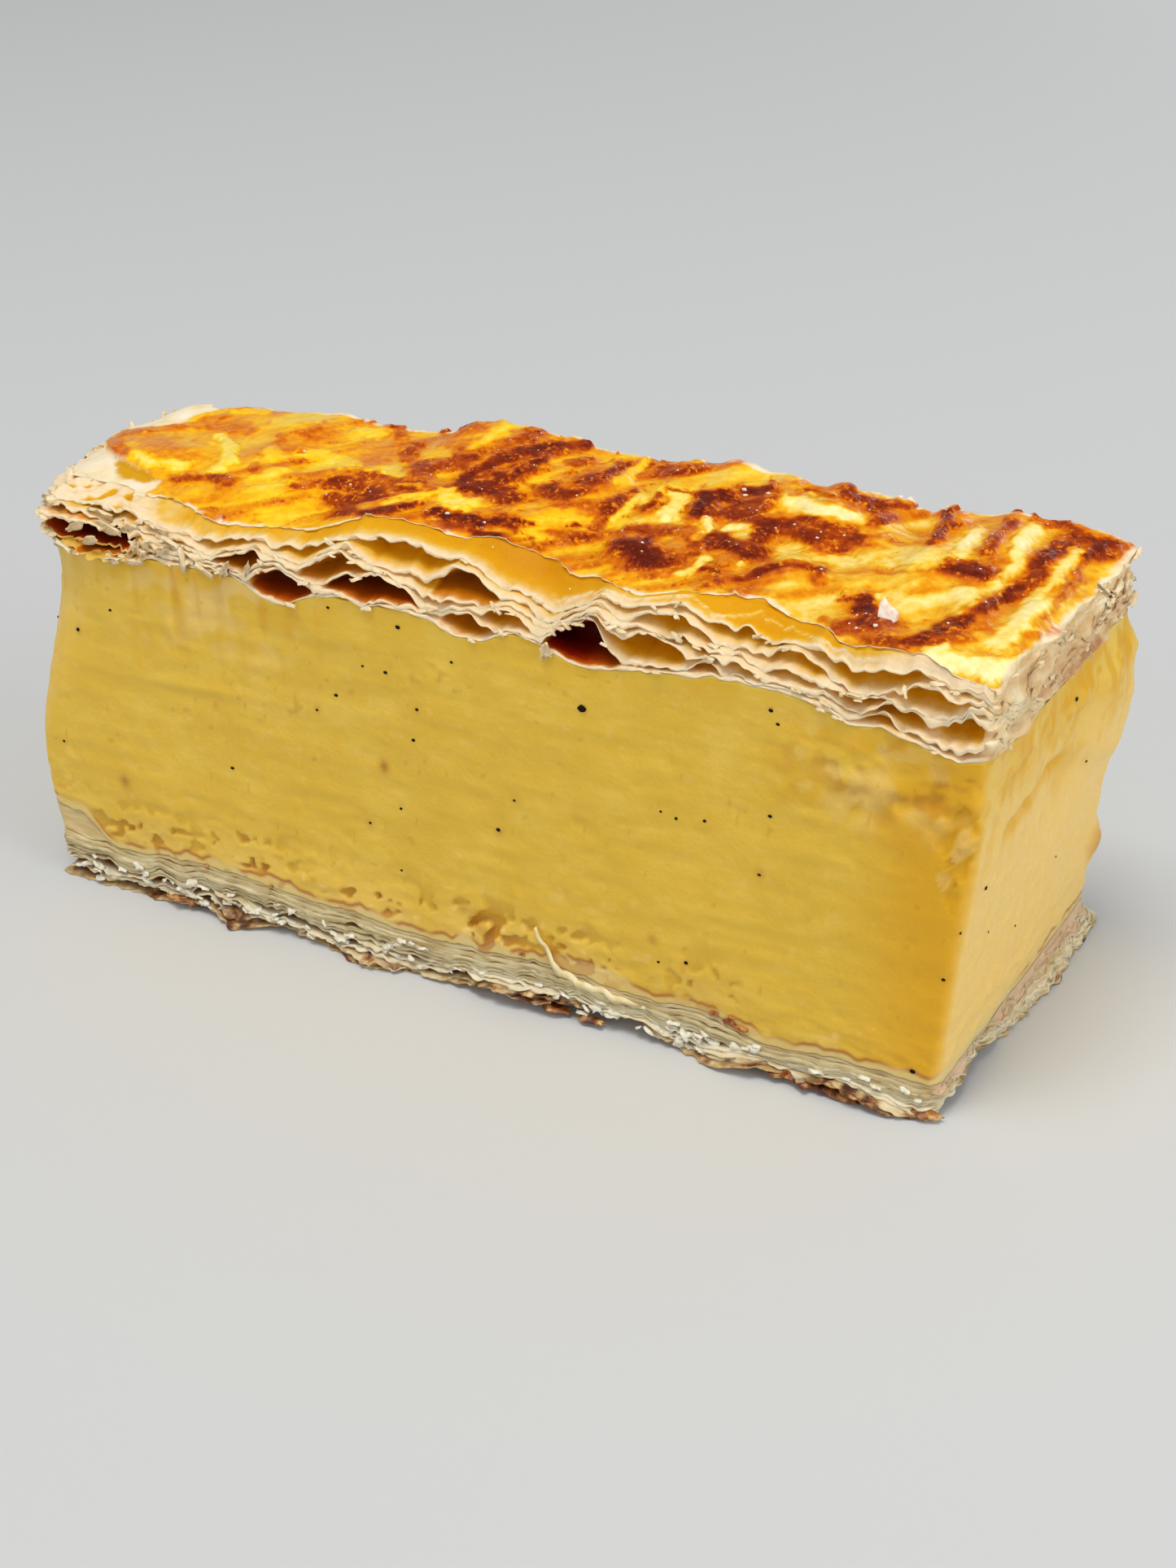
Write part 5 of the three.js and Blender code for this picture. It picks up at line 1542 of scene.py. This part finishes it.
def make_pale_crumbs():
    """Crumbly pale flakes along the lower front edge, thickest where the leaves break out."""
    draw = np.random.default_rng(171)
    x = np.concatenate([draw.normal(*PILE), draw.uniform(*STREWN), draw.normal(*FEW)])
    count, piled = len(x), PILE[-1]
    z = np.clip(draw.normal(2.4, 0.8, count), 1.0, 4.2)
    z[:piled] = np.clip(draw.normal(2.0, 0.7, piled), 0.9, 3.4)
    centre = np.stack([x, front_at(x, z) - draw.uniform(0.35, 0.75, count), z], 1)
    tangent = np.stack([np.ones(count), 0.3 * draw.normal(size=count), 0.4 * draw.normal(size=count)], 1)
    across = np.stack([0.3 * draw.normal(size=count), -np.ones(count), draw.uniform(-1, 1, count)], 1)
    length = draw.uniform(0.35, 0.95, count)
    flakes = sheets(centre, tangent, across, length, 0.6 * length, 0.14, 0.3 * length, 173)
    add_loose("pale_crumbs", "pale_crumb", "bottom_pastry", *flakes)


# Slim shred of pastry stuck to the front cut: x, z and half width, from its tip to the wavy lip.
SHRED = [
    [9.6, 10.6, 0.22], [10.2, 9.4, 0.28], [10.9, 8, 0.3], [11.7, 6.7, 0.38], [12.5, 5.7, 0.6],
    [13.8, 5, 0.75], [15.2, 4.9, 0.6], [16.6, 4.4, 0.7], [18, 4.6, 0.5], [19.5, 4.3, 0.6], [21.2, 3.9, 0.5],
    [23.2, 3.9, 0.3],
]
SHRED_FORM = {"rings": 56, "proud": 0.45, "thick": 0.14}


def make_shred():
    """Ribbon through the SHRED stations, four points around at each ring."""
    stations = np.array(SHRED)
    place = np.linspace(0, len(stations) - 1, SHRED_FORM["rings"])
    x, z, half = (np.interp(place, np.arange(len(stations)), column) for column in stations.T)
    z = z + 0.12 * np.sin(place * 4.1)
    middle = np.stack([x, front_at(x, z) - SHRED_FORM["proud"] - 0.2 * np.sin(place * 2.3), z], 1)
    out = np.array([0.0, -1.0, 0.0])
    side = unit(np.cross(out, unit(np.gradient(middle, axis=0)))) * half[:, None]
    thick = out * SHRED_FORM["thick"]
    rings = [middle + side, middle + thick, middle - side, middle - 3 * thick]
    corners = np.arange(4 * len(place)).reshape(-1, 4)
    low, high = corners[:-1], corners[1:]
    following = np.roll(corners, -1, axis=1)
    bands = np.stack([low, following[:-1], following[1:], high], -1).reshape(-1, 4)
    faces = bands.tolist() + [[3, 2, 1, 0], corners[-1].tolist()]
    add_loose("pastry_shred", "pastry_shred", "bottom_pastry", np.stack(rings, 1).reshape(-1, 3), faces)


# White grains on the crust where it shows glints, given on SIGHT_LEVEL: x, y and half size in mm. They are
# partly sugar, partly painted glints.
SUGAR_AND_GLINTS = [
    [47, -14, 0.3], [45.6, -15.2, 0.2], [44.6, -12.6, 0.16], [39.2, 15, 0.5], [38.2, 15.6, 0.3],
    [21.5, 11.2, 0.3], [22.4, 9.6, 0.35], [24.5, 11, 0.25], [17.3, -5.2, 0.2], [18.5, -7, 0.18],
    [20.7, 3.2, 0.22], [26.8, 0.6, 0.2], [30.5, 4.6, 0.2], [33.8, 2.4, 0.22], [36.2, 4, 0.18],
    [37.2, -4.4, 0.2], [52, 1.4, 0.16], [55, -5.4, 0.16], [53.2, -11, 0.16], [-0.8, -6.6, 0.22],
    [-5.8, -6.2, 0.35], [-8.6, -1.6, 0.2], [-20.2, -3.2, 0.2], [-24.8, -5.6, 0.16], [-31, 3.1, 0.25],
    [5, 3.2, 0.18], [12.4, 13.2, 0.16], [-3.6, 9, 0.16],
]
GLINTS = {"count": 90, "size": (0.05, 0.15), "browned": 0.62}  # fine white grains on the browned places: partly sugar, partly painted glints
CRYSTAL = {"place": (47.6, -12.2), "half": 1.1, "height": 1.7, "thick": 0.25}  # a broken plate on edge
# Its outline, as shares of the half width and of the height.
CRYSTAL_OUTLINE = [[-1, 0], [0.9, -0.1], [1, 0.35], [0.1, 0.6], [-0.7, 1], [-1, 0.7]]


def on_crust(top, level_x, level_y):
    """Points of the crust's top that lie nearest to sight lines through places of SIGHT_LEVEL."""
    points = np.stack([part.reshape(-1) for part in top], 1)
    seen_x, seen_y = on_sight_level(*points.T)
    nearest = [np.argmin(np.hypot(seen_x - x, seen_y - y)) for x, y in zip(level_x, level_y)]
    return points[nearest]


def fine_sugar_and_glints():
    """Places and sizes of fine white grains, partly sugar and partly painted glints, drawn at random over the
    crust and kept on browned places.
    """
    draw = np.random.default_rng(183)
    x, y = draw.uniform(-50, 60, 6000), draw.uniform(-15, 17, 6000)
    z = crust_surface(x, y)
    kept = np.flatnonzero(crust_marks(x, y, z)[0] > GLINTS["browned"])[:GLINTS["count"]]
    size = draw.uniform(*GLINTS["size"], len(kept))
    return np.stack([x, y, z], 1)[kept], size[:, None]


def sugar_plate(top):
    """One larger broken crystal that stands on the crust and leans back: a thin bevelled plate."""
    foot = on_crust(top, *np.array([CRYSTAL["place"]]).T)[0]
    across, up = np.array(CRYSTAL_OUTLINE).T * [[CRYSTAL["half"]], [CRYSTAL["height"]]]
    lean = 0.5 * up
    front = np.column_stack([0.85 * across, lean - CRYSTAL["thick"], 0.95 * up])
    back = np.column_stack([across, lean + CRYSTAL["thick"], up])
    count = len(up)
    faces = [[count + i, count + (i + 1) % count, (i + 1) % count, i] for i in range(count)]
    faces += [list(range(count)), list(range(2 * count - 1, count - 1, -1))]
    return foot + np.concatenate([front, back]), faces


def make_sugar_and_glints(top):
    x, y, half = np.array(SUGAR_AND_GLINTS).T
    fine_places, fine_sizes = fine_sugar_and_glints()
    centres = np.concatenate([on_crust(top, x, y), fine_places])
    sizes = np.concatenate([half[:, None], fine_sizes]) * np.array([[1.0, 0.8, 0.6]])
    crystals = grains(centres, sizes, 181, subdivisions=1, rough=0.5)
    piece = add_loose("sugar_and_glint_grains", "sugar", "top_pastry", *joined(*crystals, *sugar_plate(top)))
    piece.data.shade_flat()


# Stage, light and camera

WORLD = {"colour": (0.96, 0.97, 1.0, 1), "front": 0.56, "back": 0.38}  # brighter behind the camera
SLICE_MIDDLE = (0, 0, 0.03)

# Area lights: place, size, power and colour. Each points at the middle of the slice.
LIGHTS = {
    "overhead": ((-0.05, -0.28, 1.3), (0.6, 0.5), 9.0, (1.0, 0.97, 0.93)),
    "window": ((0.75, -0.1, 0.35), (0.4, 0.4), 2.2, (0.95, 0.98, 1.0)),
    "front": ((-0.3, -0.8, 0.4), (0.5, 0.4), 0.6, (1.0, 0.97, 0.93)),
    "back": ((0.1, 0.8, 0.08), (0.6, 0.12), 0.6, (0.98, 0.98, 1.0)),
}


def make_floor():
    bpy.ops.mesh.primitive_plane_add(size=3.0, location=(0, 0, 0))
    floor = bpy.context.object
    floor.name = "floor"
    shader = Shader("pale_floor", 0.75)
    shader.set(Base_Color=rgb(203, 205, 205))
    floor.data.materials.append(shader.material)


def light_world():
    """Plain studio light that is brighter behind the camera."""
    world = bpy.data.worlds.new("studio")
    world.use_nodes = True
    tree = world.node_tree
    direction = add_node(tree, "TexCoord", "Generated", {})
    behind = add_node(tree, "SeparateXYZ", "Y", {"Vector": direction})
    span = {"From Min": -0.7, "From Max": 0.7, "To Min": WORLD["front"], "To Max": WORLD["back"]}
    strength = add_node(tree, "MapRange", "Result", {"Value": behind, **span})
    background = tree.nodes["Background"].inputs
    plug(tree, WORLD["colour"], background["Color"])
    plug(tree, strength, background["Strength"])
    bpy.context.scene.world = world


def add_lights():
    for name, (place, size, power, colour) in LIGHTS.items():
        light = bpy.data.lights.new(name, "AREA")
        light.shape = "RECTANGLE"
        light.size, light.size_y = size
        light.energy = power
        light.color = colour
        lamp = bpy.data.objects.new(name, light)
        lamp.location = place
        lamp.rotation_euler = (Vector(SLICE_MIDDLE) - Vector(place)).to_track_quat("-Z", "Y").to_euler()
        bpy.context.scene.collection.objects.link(lamp)


def add_camera():
    data = bpy.data.cameras.new("camera")
    data.sensor_width = CAMERA["sensor"]
    data.lens = CAMERA["lens"]
    data.clip_start, data.clip_end = 0.01, 10
    camera = bpy.data.objects.new("camera", data)
    yaw, pitch, roll = (math.radians(CAMERA[key]) for key in ("yaw", "pitch", "roll"))
    forward = Vector((-math.sin(yaw) * math.cos(pitch), math.cos(yaw) * math.cos(pitch), -math.sin(pitch)))
    right = Vector((math.cos(yaw), math.sin(yaw), 0))
    up = right.cross(forward)
    turned_right = right * math.cos(roll) + up * math.sin(roll)
    turned_up = up * math.cos(roll) - right * math.sin(roll)
    turn = Matrix((turned_right, turned_up, -forward)).transposed()
    camera.matrix_world = Matrix.Translation(to_frame(CAMERA["place"])) @ turn.to_4x4()
    bpy.context.scene.collection.objects.link(camera)
    bpy.context.scene.camera = camera


def set_colours():
    view = bpy.context.scene.view_settings
    view.view_transform = "Standard"
    view.look = "None"


make_bottom_pastry()
custard_wall, custard_place = make_custard()
leaf_wall, leaf_spot, crust_top = make_top_pastry()
make_leaf_flakes(leaf_wall, leaf_spot)
make_specks(custard_wall, custard_place)
make_seam_bits(custard_wall, custard_place)
make_brown_flakes()
make_pale_crumbs()
make_shred()
make_sugar_and_glints(crust_top)
make_floor()
light_world()
add_lights()
add_camera()
set_colours()
